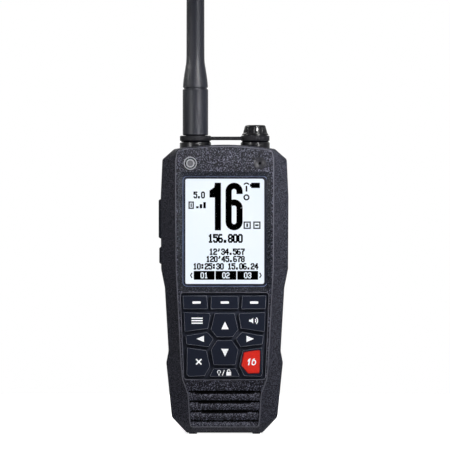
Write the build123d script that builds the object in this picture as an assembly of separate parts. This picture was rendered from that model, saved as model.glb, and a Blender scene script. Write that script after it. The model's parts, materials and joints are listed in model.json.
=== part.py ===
"""Handheld marine VHF radio: two housings, display, keypad, speaker, screw-on antenna,
tethered jack cap, and a battery pack with a belt clip.  Sizes are in millimetres."""

from build123d import *
from functools import cache
from math import cos, pi, sin, sqrt
import os

# ------------------------------------------------------------------ driving sizes
# The radio stands on its feet, faces -Y and has +Z up.  The middle of its whole depth,
# belt clip included, is at y = 0.

# Body
body_depth = 38.0
head_half_width = 31.0
waist_half_width = 27.2
chin_half_width = 18.4
crown_height = 140.4
foot_height = 0.6
face_wall = 2.0
side_wall = 2.0
bay_floor = 2.0
edge_break = 0.5
shoulder_depth = 6.5
parting_depth = 22.0
bay_depth = 26.0
rear_shoulder_depth = 30.5
back_side_draft = 6.0
back_end_draft = 3.0
bay_top = 93.0
foot_half_gap = 13.45
foot_width = 3.9
rear_foot_depth = 2.0

# Clearances
snug = 0.1
fit_gap = 0.15
key_guide = 0.2
lid_gap = 0.3
shaft_gap = 0.05
beyond = 400.0

# Display
window_side_inset = 10.7
window_bottom = 71.6
window_top_inset = 15.5
window_radius = 1.2
window_thickness = 1.2
window_sink = 0.7
bezel_width = 2.2
display_gasket_thickness = 0.4
ledge_width = 1.1
ledge_thickness = 0.7
lcd_thickness = 1.9
backlight_thickness = 1.2

# Keypad
keypad_top = 68.6
keypad_bottom = 26.6
keypad_top_half_width = 21.4
keypad_bottom_half_width = 19.6
key_proud = 0.15
key_travel = 0.6
key_radius = 0.8
key_edge = 0.45
plunger_radius = 1.6
mat_thickness = 1.0
mat_flange = 0.7
mat_skirt = 1.0
dome_radius = 2.0
dome_height = 0.3
red_cap_proud = 0.2
red_cap_sink = 0.6

# Speaker, microphone and power button
grille_slots = 4
grille_pitch = 4.7
grille_top = 21.3
grille_half_width = 17.3
grille_depth = 1.3
slot_height = 1.1
speaker_width = 35.0
speaker_height = 20.0
speaker_z = 15.0
mesh_thickness = 0.3
microphone_inset = 13.9
microphone_radius = 3.0
microphone_hole = 0.6
power_inset = 14.4
power_radius = 1.9
power_ring_radius = 3.2
button_drop = 9.1

# Boards and chassis
board_bottom = 27.0
board_thickness = 1.6
board_reach = 0.2
board_notch = 0.4
chassis_bottom = 34.0
chassis_top_inset = 22.4
chassis_gap = 0.6
chassis_wall = 1.6
can_height = 2.2
patch_size = 18.0
patch_thickness = 4.0
patch_drop = 19.4

# Screws through the rear housing
screw_radius = 1.25
screw_head_radius = 2.4
screw_head_height = 1.5
screw_grip = 8.0
post_radius = 2.5
low_screw_z = 12.0
low_screw_inset = 5.0
middle_screw_z = 77.0
middle_screw_inset = 4.6
top_screw_drop = 10.4
top_screw_inset = 5.8

# Side keys on the left flank
ptt_z = 104.45
ptt_height = 19.1
ptt_proud = 1.1
ptt_travel = 1.0
side_key_z = 86.65
side_key_height = 8.3
side_key_proud = 0.9
side_key_travel = 0.8
side_key_depth = 13.5
side_key_thickness = 10.0
side_flange = 0.9
switch_margin = 5.8

# Antenna
antenna_inset = 16.8
seat_land = 0.95
antenna_top = 300.0
antenna_seat_radius = 7.65
sleeve_radius = 6.2
sleeve_height = 22.6
whip_radius = 4.4
flare_height = 15.0
stud_radius = 3.1
stud_height = 11.1
connector_radius = 4.5
seat_height = 3.8

# Accessory jack, its cap and the tether
jack_inset = 16.1
jack_seat_radius = 7.1
jack_neck_radius = 4.8
jack_bore_radius = 1.8
cap_base_radius = 6.5
cap_top_radius = 4.7
cap_height = 4.9
cap_flutes = 10
tether_thickness = 2.7
tether_ring_wall = 1.1
strap_thickness = 1.5
strap_width = 5.0

# Battery pack
pack_gap = 0.3
case_wall = 1.8
lid_thickness = 1.7
cell_width = 18.5
cell_height = 58.0
cell_bottom = 14.0
tongue_x = 9.0
tongue_z = 8.0
tongue_width = 8.0
tongue_height = 3.0
contact_z = 58.0
contact_pitch = 6.0
coin_screw_z = 85.6
coin_screw_radius = 4.5
coin_screw_height = 2.6
coin_shank_radius = 2.0
coin_ring_radius = 3.2
coin_screw_lift = 2.8
coin_ring_thickness = 0.9

# Belt clip and strap lug
clip_reach = 7.2
clip_pivot_z = 72.0
clip_pivot_reach = 4.2
clip_bottom = 15.0
clip_top = 81.0
clip_width = 22.0
clip_thickness = 2.2
clip_pin_radius = 1.25
clip_ear_radius = 2.9
clip_ear_thickness = 2.6
clip_neck_width = 17.4
lug_inset = 14.0
lug_width = 4.0
lug_drop = 14.4
lug_hole_radius = 2.0

# ------------------------------------------------------------------ derived places
y_face = -(body_depth + clip_reach) / 2
y_inner = y_face + face_wall
y_shoulder = y_face + shoulder_depth
y_parting = y_face + parting_depth
y_bay = y_face + bay_depth
y_rear_shoulder = y_face + rear_shoulder_depth
y_back = y_face + body_depth

window_half_width = head_half_width - window_side_inset
window_top = crown_height - window_top_inset
y_window = y_face + window_sink
y_window_back = y_window + window_thickness
y_ledge = y_window_back + display_gasket_thickness
y_ledge_back = y_ledge + ledge_thickness
y_lcd = y_ledge_back + snug
y_backlight = y_lcd + lcd_thickness + snug
y_board = y_backlight + backlight_thickness + snug
y_board_back = y_board + board_thickness
y_dome = y_board - dome_height
y_plunger = y_dome - key_travel - snug
y_key = y_face - key_proud
y_key_back = y_inner - key_travel - snug

y_floor = y_bay - bay_floor
y_rf_cans = y_floor - can_height - 1.8
y_rf_board = y_rf_cans - board_thickness
y_chassis = y_board_back + key_guide
y_chassis_back = y_rf_board - snug

seat_z = crown_height - 2.0
seat_top = seat_z + seat_height
tether_top = seat_top + tether_thickness
boss_bottom = seat_z - 2.8
button_z = crown_height - button_drop
board_top = crown_height - 5.9
chassis_top = crown_height - chassis_top_inset
power_x = head_half_width - power_inset
microphone_x = head_half_width - microphone_inset
antenna_x = head_half_width - antenna_inset
jack_x = head_half_width - jack_inset
lug_x = head_half_width - lug_inset
lug_z = crown_height - lug_drop
y_antenna = y_parting - antenna_seat_radius - seat_land
antenna_at = (-antenna_x, y_antenna)
jack_at = (jack_x, y_antenna)
sleeve_bottom = tether_top + fit_gap
sleeve_top = sleeve_bottom + sleeve_height
stud_top = seat_z + stud_height
cap_bottom = tether_top + fit_gap

y_lid = y_bay + lid_gap
y_case = y_lid + lid_thickness
pack_top = bay_top - pack_gap
y_coin_seat = y_back - coin_screw_height - 0.3
y_ring = y_case + lid_gap
y_ring_stop = y_ring + coin_ring_thickness + coin_screw_lift + lid_gap
y_pivot = y_back + clip_pivot_reach
y_clip = y_back + clip_reach - clip_thickness
y_side_key = y_face + side_key_depth

# Stations of the outline, from the foot to the head: half width, height, corner radius,
# how far the front panel's edge lies inside and above the body's edge, and the share of
# an end wall that the station moves up.
stations = [
    (chin_half_width, foot_height, 1.0, 2.6, 2.8, 1.0),
    (chin_half_width + 7.2, foot_height + 7.6, 3.0, 8.3, -2.8, 0.4),
    (waist_half_width - 0.45, 19.5, 0.0, 8.55, 0.0, 0.0),
    (waist_half_width + 0.3, 27.0, 0.0, 6.6, 0.0, 0.0),
    (waist_half_width + 1.1, 34.6, 2.0, 6.7, -0.6, 0.0),
    (waist_half_width, 40.4, 6.0, 5.3, 0.0, 0.0),
    (waist_half_width + 1.8, 71.0, 8.0, 5.6, -1.0, 0.0),
    (head_half_width - 0.2, 80.0, 8.0, 6.8, 0.0, 0.0),
    (head_half_width, 115.0, 0.0, 6.8, 0.0, 0.0),
    (head_half_width - 0.8, crown_height - 7.2, 2.0, 6.0, -0.2, -0.45),
    (head_half_width - 6.6, crown_height - 2.1, 2.0, 1.0, -0.4, -1.0),
]
panel_crown_drop = 0.5


def half_width_at(height):
    """Half the body's width at a height, between two stations."""
    for low, high in zip(stations, stations[1:]):
        if low[1] <= height <= high[1]:
            share = (height - low[1]) / (high[1] - low[1])
            return low[0] + share * (high[0] - low[0])
    return head_half_width


def inset_at(height, inset):
    """Where a point stands whose distance from the outline, square to it, is the inset."""
    rise = 0.1
    lean = (half_width_at(height + rise) - half_width_at(height)) / rise
    return half_width_at(height) - inset * sqrt(1 + lean * lean)


screw_places = [
    (inset_at(z, inset), z)
    for z, inset in (
        (low_screw_z, low_screw_inset),
        (middle_screw_z, middle_screw_inset),
        (crown_height - top_screw_drop, top_screw_inset),
    )
]
chassis_half_width = screw_places[1][0] - post_radius - chassis_gap
board_half_width = chassis_half_width + board_reach

# Key outlines as (x, z) corners; those on the left are mirrored to the right.
soft_side_corners = [(-20.5, 67.5), (-8.3, 67.5), (-7.7, 60.4), (-20.2, 60.4)]
soft_middle_corners = [(-6.9, 67.4), (6.9, 67.4), (7.0, 60.4), (-7.0, 60.4)]
menu_corners = [(-20.05, 59.5), (-7.3, 59.1), (-6.4, 57.9), (-7.7, 51.0), (-19.7, 49.3)]
up_corners = [
    (-5.1, 59.0), (5.1, 59.0), (7.0, 50.6), (4.05, 46.85), (-4.05, 46.85), (-7.0, 50.6),
]
left_corners = [(-19.2, 48.1), (-8.3, 49.9), (-4.9, 46.3), (-7.5, 42.0), (-18.7, 43.4)]
down_corners = [
    (-3.9, 45.9), (3.9, 45.9), (7.0, 41.1), (5.6, 33.3), (-5.6, 33.3), (-7.0, 41.1),
]
clear_corners = [
    (-18.5, 42.4), (-8.5, 41.0), (-6.7, 33.0), (-9.3, 28.0), (-17.6, 27.7), (-18.7, 29.2),
]
red_cap_corners = [
    (9.3, 39.9), (17.3, 41.0), (16.9, 29.6), (11.4, 29.4), (8.0, 33.4),
]
lamp_corners = [(-5.6, 32.3), (5.6, 32.3), (8.0, 27.7), (-8.0, 27.7)]


# ------------------------------------------------------------------ helpers
def front_plane(y):
    """Plane across the radio at y: local x is X, local y is Z, and it faces the user."""
    return Plane(origin=(0, y, 0), x_dir=(1, 0, 0), z_dir=(0, -1, 0))


def side_plane(x):
    """Plane along the radio at x: local x is Y, local y is Z, and it faces +X."""
    return Plane(origin=(x, 0, 0), x_dir=(0, 1, 0), z_dir=(1, 0, 0))


def prism(sketch, y_front, y_rear):
    """A front-view sketch made solid from y_front back to y_rear."""
    return extrude(front_plane(y_rear) * sketch, amount=y_rear - y_front)


def side_prism(sketch, x_low, x_high):
    """A side-view sketch made solid from x_low to x_high."""
    return extrude(side_plane(x_low) * sketch, amount=x_high - x_low)


def block(x_low, x_high, y_low, y_high, z_low, z_high):
    """An upright box between two corners."""
    centre = ((x_low + x_high) / 2, (y_low + y_high) / 2, (z_low + z_high) / 2)
    return Pos(*centre) * Box(x_high - x_low, y_high - y_low, z_high - z_low)


def post(x, y, z_low, z_high, radius):
    """A vertical cylinder."""
    return Pos(x, y, (z_low + z_high) / 2) * Cylinder(radius, z_high - z_low)


def disc(x, z, radius):
    """A circle in the front view."""
    return Pos(x, z) * Circle(radius)


def panel(half_width, z_low, z_high, radius):
    """A rounded rectangle about x = 0 in the front view."""
    rectangle = RectangleRounded(2 * half_width, z_high - z_low, radius)
    return Pos(0, (z_low + z_high) / 2) * rectangle


def rounded(corners, radius):
    """A closed outline through the corners, each of them rounded."""
    return make_face(FilletPolyline(*corners, radius=radius, close=True))


def mirrored(corners):
    """The same corners on the other side of x = 0."""
    return [(-x, z) for x, z in corners]


def both_sides(places):
    """Each (x, z) place and its mirror image."""
    return [(side * x, z) for x, z in places for side in (-1, 1)]


def body_outline(side=0.0, ends=0.0, bevel=0.0, soft=True):
    """The body's outline in the front view, drawn in by side and ends.

    bevel 0 is the body's own edge, and bevel 1 the edge of its front panel."""
    corners = []
    for half_width, height, radius, inset, rise, share in stations:
        x = half_width - side - bevel * inset
        corners.append((x, height + bevel * rise + share * ends, radius))
    right = [(x, z) for x, z, radius in corners]
    left = [(-x, z) for x, z in reversed(right)]
    crown = (0, crown_height - bevel * panel_crown_drop - ends)
    edge = Polyline(*right) + ThreePointArc(right[-1], crown, left[0])
    edge += Polyline(*left) + Line(left[-1], right[0])
    face = make_face(edge)
    for x, z, radius in corners:
        if soft and radius > 0:
            ends_of_edge = face.vertices()
            pair = [ends_of_edge.sort_by_distance((s * x, z, 0))[0] for s in (-1, 1)]
            face = fillet(pair, radius)
    return face


def front_form():
    """The front half's outer form: panel, broken edge, bevels and flanks."""
    edge = front_plane(y_face) * body_outline(side=edge_break, ends=edge_break, bevel=1.0)
    crease = front_plane(y_face + edge_break) * body_outline(bevel=1.0)
    shoulder = front_plane(y_shoulder) * body_outline()
    form = loft([edge, crease], ruled=True) + loft([crease, shoulder], ruled=True)
    return form + prism(body_outline(), y_shoulder, y_parting)


@cache
def rear_form(wall=0.0):
    """The back half's form from the seam, with its drafted back, drawn in by wall."""
    soft = wall == 0.0
    outline = body_outline(side=wall, ends=wall, soft=soft)
    drawn_in = body_outline(
        side=back_side_draft + wall, ends=back_end_draft + wall, soft=soft
    )
    y_end = y_back - wall
    form = prism(outline, y_parting - wall, y_rear_shoulder)
    shoulder = front_plane(y_rear_shoulder) * outline
    if not soft:
        return form + loft([shoulder, front_plane(y_end) * drawn_in], ruled=True)
    edge = body_outline(side=back_side_draft + edge_break, ends=back_end_draft + edge_break)
    crease = front_plane(y_end - edge_break) * drawn_in
    form += loft([shoulder, crease], ruled=True)
    return form + loft([crease, front_plane(y_end) * edge], ruled=True)


def slab(y_front, y_rear, z_high=beyond):
    """Everything between two depths and under a height."""
    return block(-beyond, beyond, y_front, y_rear, -beyond, z_high)


def ring(x, y, z_low, z_high, outer, inner):
    """An upright ring."""
    return post(x, y, z_low, z_high, outer) - post(x, y, z_low - 1, z_high + 1, inner)


# ------------------------------------------------------------------ housings
def front_cavity():
    """The hollow of the front housing, open at the seam."""
    front = front_plane(y_inner) * body_outline(side=0.2, ends=0.6, bevel=1.0, soft=False)
    rear = front_plane(y_shoulder + 0.8) * body_outline(
        side=side_wall, ends=side_wall, soft=False
    )
    straight = prism(
        body_outline(side=side_wall, ends=side_wall, soft=False),
        y_shoulder + 0.8,
        y_parting + 1,
    )
    return loft([front, rear], ruled=True) + straight


def keypad_outline(grow=0.0):
    """The keypad's opening, wider at the top, grown all round."""
    top = keypad_top_half_width + grow
    bottom = keypad_bottom_half_width + grow
    corners = [
        (-top, keypad_top + grow), (top, keypad_top + grow),
        (bottom, keypad_bottom - grow), (-bottom, keypad_bottom - grow),
    ]
    return rounded(corners, 1.5 + grow)


def grille_cuts():
    """Louvres of the speaker: each rib leans out from its slot down to the next one."""
    cuts = []
    for i in range(grille_slots):
        top = grille_top - i * grille_pitch
        profile = Polyline(
            (y_face - 1, top),
            (y_face + grille_depth, top),
            (y_face + grille_depth, top - slot_height),
            (y_face, top - grille_pitch + 0.6),
            (y_face - 1, top - grille_pitch + 0.6),
            close=True,
        )
        width = grille_half_width - 0.35 * i
        cuts.append(side_prism(make_face(profile), -width, width))
    for i in range(grille_slots - 1):
        top = grille_top - i * grille_pitch
        width = grille_half_width - 2.8 - 1.7 * i
        cuts.append(block(-width, width, y_face, y_inner + 1, top - slot_height, top))
    return cuts


def side_opening(z, height, grow):
    """The hole of a side key in the left flank, grown all round."""
    size = (side_key_thickness + 2 * grow, height + 2 * grow)
    sketch = Pos(y_side_key, z) * RectangleRounded(*size, 1.5 + grow)
    return side_prism(sketch, -head_half_width - 3, -head_half_width + 5)


def display_cuts():
    """A sloping bezel, the window's pocket and the opening for the glass."""
    low, high = window_bottom - fit_gap, window_top + fit_gap
    pocket = window_half_width + fit_gap
    rim = front_plane(y_face - 0.01) * panel(
        pocket + bezel_width, low - bezel_width, high + bezel_width, 2.5
    )
    foot = panel(pocket, low, high, window_radius)
    view = panel(
        window_half_width - ledge_width,
        window_bottom + ledge_width,
        window_top - ledge_width,
        window_radius,
    )
    return [
        loft([rim, front_plane(y_window) * foot], ruled=True),
        prism(foot, y_window - 0.01, y_ledge),
        prism(view, y_face, y_lcd),
    ]


def front_housing():
    outer = front_form()
    # Lands for the display, the screws, the two seats and the microphone
    land = panel(
        window_half_width + 2.3, keypad_top + mat_flange + 0.2, window_top + 2.7, 2.0
    )
    lands = [prism(disc(x, z, post_radius), y_face, y_parting) for x, z in both_sides(screw_places)]
    for x, y in (antenna_at, jack_at):
        lands.append(post(x, y, boss_bottom, crown_height, antenna_seat_radius + 0.8))
    lands.append(prism(disc(microphone_x, button_z, microphone_radius + 1), y_face, y_inner + 1))
    inside = prism(land, y_inner - 0.2, y_ledge_back) + lands
    shell = outer - front_cavity() + (inside & outer)
    # Display, keypad and speaker, then the microphone's dish and nest
    cuts = display_cuts() + grille_cuts()
    cuts.append(prism(keypad_outline(), y_face - 1, y_inner + 1))
    cuts.append(Pos(microphone_x, y_face - 4.1, button_z) * Sphere(5.0))
    cuts.append(prism(disc(microphone_x, button_z, microphone_hole), y_face - 1, y_inner + 0.3))
    nest = disc(microphone_x, button_z, microphone_radius + snug)
    cuts.append(prism(nest, y_inner + 0.2, y_board))
    # Power button: its hole, a groove round it and a raised ring round that
    hole = disc(-power_x, button_z, power_radius + key_guide)
    ring_inside = disc(-power_x, button_z, power_ring_radius - 0.5)
    ring_outside = disc(-power_x, button_z, power_ring_radius)
    cuts.append(prism(ring_inside, y_face - 1, y_face + 0.4))
    cuts.append(prism(hole, y_face - 1, y_inner + 1))
    # Screw holes, side keys and the two seats on the crown
    for x, z in both_sides(screw_places):
        hole = disc(x, z, screw_radius + shaft_gap)
        cuts.append(prism(hole, y_parting - screw_grip - 0.5, y_parting + 1))
    cuts.append(side_opening(ptt_z, ptt_height, fit_gap))
    cuts.append(side_opening(side_key_z, side_key_height, fit_gap))
    for (x, y), seat_radius in ((antenna_at, antenna_seat_radius), (jack_at, jack_seat_radius)):
        cuts.append(post(x, y, seat_z, crown_height + 5, seat_radius + fit_gap))
        cuts.append(post(x, y, boss_bottom - 1, seat_z + 1, stud_radius + fit_gap))
    shell -= cuts
    raised = [prism(ring_outside - ring_inside, y_face - 0.15, y_face + 0.4)]
    for low, high in foot_spans():
        raised.append(block(low, high, y_shoulder + 1, y_parting - 1, 0, foot_height + 1))
    return shell + raised


def foot_spans():
    """The two feet's ends in x."""
    inner, outer = foot_half_gap, foot_half_gap + foot_width
    return [(-outer, -inner), (inner, outer)]


def rear_housing():
    outer = rear_form() - slab(y_bay, beyond, bay_top)
    hollow = rear_form(side_wall) - slab(y_floor, beyond, bay_top + side_wall)
    bosses = [
        prism(disc(x, z, screw_head_radius + 0.6), y_parting, y_back)
        for x, z in both_sides(screw_places)
    ]
    bosses = prism(disc(0, coin_screw_z, 4.5), y_bay - 3.4, y_bay) + bosses
    shell = outer - [hollow, prism(gasket_outline(), y_parting - 1, y_parting + 1.0)]
    shell += bosses & outer
    y_head_seat = y_bay - screw_head_height - snug
    cuts = [prism(disc(0, coin_screw_z, coin_shank_radius + 0.3), y_bay - 3.2, y_bay + 1)]
    for x, z in both_sides(screw_places):
        cuts.append(prism(disc(x, z, screw_radius + shaft_gap), y_parting - 1, y_back))
        cuts.append(prism(disc(x, z, screw_head_radius + snug), y_head_seat, y_back + 1))
    # Holes of the contact pins and pockets of the pack's tongues
    for x in contact_places():
        cuts.append(prism(disc(x, contact_z, 0.8 + snug), y_floor - 1, y_bay + 1))
    for tongue in tongues(key_guide):
        cuts.append(prism(tongue, y_bay - 1.2, y_bay + 1))
    return shell - cuts


def tongues(grow=0.0):
    """Outlines of the two tongues at the foot of the battery pack, grown all round."""
    size = (tongue_width + 2 * grow, tongue_height + 2 * grow)
    return [Pos(side * tongue_x, tongue_z) * Rectangle(*size) for side in (-1, 1)]


def gasket_outline():
    """The ring just inside the seam's outer land."""
    outer = body_outline(side=side_wall - 0.8, ends=side_wall - 0.8, soft=False)
    return outer - body_outline(side=side_wall, ends=side_wall, soft=False)


def housing_gasket():
    gasket = prism(gasket_outline(), y_parting, y_parting + 1.0 - snug)
    return gasket - [
        prism(disc(x, z, screw_head_radius + 0.7), y_parting - 1, y_back)
        for x, z in both_sides(screw_places)
    ]


def housing_screws():
    y_head = y_bay - screw_head_height - snug
    screws = []
    for x, z in both_sides(screw_places):
        shank = prism(disc(x, z, screw_radius), y_parting - screw_grip, y_head)
        head = prism(disc(x, z, screw_head_radius), y_head, y_head + screw_head_height)
        cross = Rectangle(2.4, 0.6) + Rectangle(0.6, 2.4)
        socket = prism(Pos(x, z) * cross, y_head + 0.6, y_bay)
        screws.append(shank + head - socket)
    return Compound(children=screws)


# ------------------------------------------------------------------ display
def display_window():
    outline = panel(window_half_width, window_bottom, window_top, window_radius)
    glass = prism(outline, y_window, y_window_back)
    return chamfer(glass.faces().sort_by(Axis.Y)[0].edges(), 0.2)


def display_gasket():
    outer = panel(window_half_width, window_bottom, window_top, window_radius)
    inner = panel(
        window_half_width - ledge_width,
        window_bottom + ledge_width,
        window_top - ledge_width,
        window_radius,
    )
    return prism(outer - inner, y_window_back, y_ledge)


def lcd_panel():
    low, high = window_bottom - 1.4, window_top + 1.4
    glass = prism(panel(window_half_width + 1, low, high, 0.3), y_lcd, y_lcd + lcd_thickness)
    return glass - slab(-beyond, y_lcd + lcd_thickness / 2, low + 1.0)


def lcd_backlight():
    low, high = window_bottom - 1.4, window_top + 1.9
    outline = panel(window_half_width + 1.1, low, high, 0.5)
    return prism(outline, y_backlight, y_backlight + backlight_thickness)


# ------------------------------------------------------------------ boards and chassis
def key_layout():
    """Each key's name and corners, in the order of the rows."""
    return [
        ("soft_key_left", soft_side_corners),
        ("soft_key_middle", soft_middle_corners),
        ("soft_key_right", mirrored(soft_side_corners)),
        ("menu_key", menu_corners),
        ("volume_key", mirrored(menu_corners)),
        ("up_key", up_corners),
        ("left_key", left_corners),
        ("right_key", mirrored(left_corners)),
        ("down_key", down_corners),
        ("clear_key", clear_corners),
        ("channel_16_key", mirrored(clear_corners)),
        ("lamp_lock_key", lamp_corners),
    ]


def key_centre(corners):
    """Where a key's plunger stands: the middle of its outline."""
    middle = make_face(Polyline(*corners, close=True)).center()
    return middle.X, middle.Y


def contact_places():
    """The x of the four battery contacts."""
    return [contact_pitch * (i - 1.5) for i in range(4)]


def main_board():
    outline = panel(board_half_width, board_bottom, board_top, 3.0)
    notches = [disc(x, z, post_radius + board_notch) for x, z in both_sides(screw_places)]
    return prism(outline, y_board, y_board_back) - [
        prism(notch, y_board - 1, y_board_back + 1) for notch in notches
    ]


def key_domes():
    places = [key_centre(corners) for name, corners in key_layout()]
    places.append((-power_x, button_z))
    return Compound(
        children=[prism(disc(x, z, dome_radius), y_dome, y_board) for x, z in places]
    )


def keypad_mat():
    mat = prism(keypad_outline(mat_flange), y_inner, y_board - snug)
    mat -= prism(keypad_outline(mat_flange - mat_skirt), y_inner + mat_thickness, y_board)
    holes = [disc(*key_centre(corners), plunger_radius + key_guide) for _, corners in key_layout()]
    return mat - [prism(hole, y_inner - 1, y_inner + mat_thickness + 1) for hole in holes]


def chassis_frame():
    low, high = chassis_bottom, chassis_top
    rim = panel(chassis_half_width, low, high, 3.0)
    hollow = panel(chassis_half_width - chassis_wall, low + chassis_wall, high - chassis_wall, 2.0)
    y_web = y_board_back + can_height + 1.6
    frame = prism(rim, y_chassis, y_chassis_back)
    frame -= prism(hollow, y_chassis - 1, y_web)
    return frame - prism(hollow, y_web + chassis_wall, y_chassis_back + 1)


def rf_board():
    outline = panel(chassis_half_width - 0.4, chassis_bottom + 0.4, chassis_top - 0.4, 2.5)
    return prism(outline, y_rf_board, y_rf_board + board_thickness)


def shield_cans():
    high = chassis_top
    front = [(-9.5, 50.0, 16.0, 24.0), (9.0, 56.0, 15.0, 30.0), (0.0, high - 22.0, 30.0, 26.0)]
    rear = [(-8.0, 74.0, 18.0, 18.0), (8.5, high - 14.0, 20.0, 18.0)]
    cans = []
    for y, layout in ((y_board_back, front), (y_rf_cans, rear)):
        for x, z, width, height in layout:
            sketch = Pos(x, z) * RectangleRounded(width, height, 0.8)
            cans.append(prism(sketch, y, y + can_height))
    return Compound(children=cans)


def side_switches():
    x = -chassis_half_width
    board = block(
        x - 1.3,
        x - snug,
        y_side_key - 4.5,
        y_side_key + 4.5,
        side_key_z - switch_margin,
        ptt_z + switch_margin,
    )
    for z in (ptt_z, side_key_z):
        board += block(x - 2.8, x - 1.3, y_side_key - 2.2, y_side_key + 2.2, z - 2.2, z + 2.2)
    return board


def gps_antenna():
    y = y_back - side_wall - snug
    outline = Pos(0, crown_height - patch_drop) * Rectangle(patch_size, patch_size)
    return prism(outline, y - patch_thickness, y)


def battery_springs():
    pins = []
    for x in contact_places():
        barrel = prism(disc(x, contact_z, 0.8), y_rf_board + board_thickness, y_lid - shaft_gap)
        pins.append(barrel + prism(disc(x, contact_z, 1.1), y_floor - 1.6, y_floor - 0.6))
    return Compound(children=pins)


# ------------------------------------------------------------------ speaker, microphone
def speaker_outline(grow=0.0):
    size = (speaker_width + 2 * grow, speaker_height + 2 * grow)
    return Pos(0, speaker_z) * RectangleRounded(*size, speaker_height / 2 + grow - 0.01)


def speaker_mesh():
    return prism(speaker_outline(), y_inner, y_inner + mesh_thickness)


def speaker_frame():
    y = y_inner + mesh_thickness
    frame = prism(speaker_outline(), y, y + 1.2)
    rear = front_plane(y + 6) * speaker_outline(-3.5)
    frame += loft([front_plane(y + 1.2) * speaker_outline(-1.2), rear], ruled=True)
    front = front_plane(y - 0.01) * speaker_outline(-1.6)
    bowl = loft([front, front_plane(y + 4.5) * speaker_outline(-4.8)], ruled=True)
    return frame - bowl + prism(disc(0, speaker_z, 7.5), y + 5.8, y + 9)


def speaker_cone():
    y = y_inner + mesh_thickness
    rim = front_plane(y + 0.8) * speaker_outline(-2.4)
    throat = front_plane(y + 4.2) * speaker_outline(-6.5)
    cone = loft([rim, throat], ruled=True)
    inner_rim = front_plane(y + 0.2) * speaker_outline(-2.6)
    inner_throat = front_plane(y + 3.6) * speaker_outline(-6.7)
    return cone - loft([inner_rim, inner_throat], ruled=True)


def microphone():
    outline = disc(microphone_x, button_z, microphone_radius)
    return prism(outline, y_inner + 0.3, y_board - snug)


# ------------------------------------------------------------------ keys
def key(corners):
    """A key: an edged cap with a plunger that reaches through the mat to its dome."""
    cap = prism(rounded(corners, key_radius), y_key, y_key_back)
    cap = chamfer(cap.faces().sort_by(Axis.Y)[0].edges(), key_edge)
    return cap + prism(disc(*key_centre(corners), plunger_radius), y_key_back, y_plunger)


def channel_16_key():
    pocket = prism(rounded(red_cap_corners, key_radius), y_key - 1, y_face + red_cap_sink)
    return key(mirrored(clear_corners)) - pocket


def channel_16_cap():
    outline = rounded(red_cap_corners, key_radius)
    cap = prism(outline, y_key - red_cap_proud, y_face + red_cap_sink)
    return chamfer(cap.faces().sort_by(Axis.Y)[0].edges(), key_edge)


def power_button():
    button = prism(disc(-power_x, button_z, power_radius), y_face - 0.1, y_plunger)
    return chamfer(button.faces().sort_by(Axis.Y)[0].edges(), 0.25)


def side_button(z, height, proud, travel, ribs):
    """A key in the left flank: cap, inner flange and a nib against its switch."""
    flank = half_width_at(z)
    x_flange = -flank + side_wall + key_guide
    x_switch = -chassis_half_width - 2.8
    cap_size = (side_key_thickness, height)
    cap = side_prism(
        Pos(y_side_key, z) * RectangleRounded(*cap_size, 1.5), -flank - proud, x_flange
    )
    cap = chamfer(cap.faces().sort_by(Axis.X)[0].edges(), 0.6)
    flange_size = (side_key_thickness + 2 * side_flange, height + 2 * side_flange)
    flange = side_prism(
        Pos(y_side_key, z) * RectangleRounded(*flange_size, 2.0), x_flange, x_flange + 0.8
    )
    nib = side_prism(
        Pos(y_side_key, z) * Circle(1.5), x_flange, x_switch - travel - snug
    )
    for i in range(ribs):
        groove_z = z + (i - (ribs - 1) / 2) * height / (ribs + 1)
        cap -= block(
            -flank - proud - 1, -flank - proud + 0.45, y_side_key - 4, y_side_key + 4,
            groove_z - 0.7, groove_z + 0.7,
        )
    return cap + flange + nib


def ptt_button():
    return side_button(ptt_z, ptt_height, ptt_proud, ptt_travel, ribs=4)


def side_key():
    return side_button(side_key_z, side_key_height, side_key_proud, side_key_travel, ribs=0)


# ------------------------------------------------------------------ antenna
def antenna_seat():
    x, y = antenna_at
    seat = ring(x, y, seat_z, seat_top, antenna_seat_radius, stud_radius + fit_gap)
    neck = ring(x, y, seat_top - 0.1, tether_top, 5.0, stud_radius + fit_gap)
    rim = seat.edges().filter_by(GeomType.CIRCLE).group_by(Axis.Z)[-1]
    return chamfer(rim.sort_by(SortBy.LENGTH)[-1], 0.8) + neck


def antenna_connector():
    x, y = antenna_at
    hexagon = Pos(x, y, boss_bottom - 12) * extrude(RegularPolygon(connector_radius, 6), 12)
    stud = post(x, y, boss_bottom - 0.1, stud_top, stud_radius)
    return hexagon + stud - post(x, y, stud_top - 6, stud_top + 1, 1.0)


def antenna_o_ring():
    x, y = antenna_at
    return ring(x, y, tether_top, tether_top + 1.2, 4.8, stud_radius + 0.3)


def antenna_sleeve():
    x, y = antenna_at
    sleeve = post(x, y, sleeve_bottom, sleeve_top, sleeve_radius)
    sleeve = chamfer(sleeve.edges().filter_by(GeomType.CIRCLE), 0.4)
    sleeve += post(x, y, sleeve_top - 0.1, sleeve_top + 0.5, sleeve_radius - 0.6)
    sleeve -= post(x, y, sleeve_bottom - 1, sleeve_bottom + 1.6, 5.1)
    return sleeve - post(x, y, sleeve_bottom, sleeve_top + 1, 4.25)


def antenna_core():
    """The metal nut and spring root that carry the whip."""
    x, y = antenna_at
    core = post(x, y, sleeve_bottom + 1.8, sleeve_top + 0.4, 4.2)
    core += post(x, y, sleeve_top, sleeve_top + flare_height, 2.5)
    return core - post(x, y, sleeve_bottom, stud_top + 0.8, stud_radius + 0.1)


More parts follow.
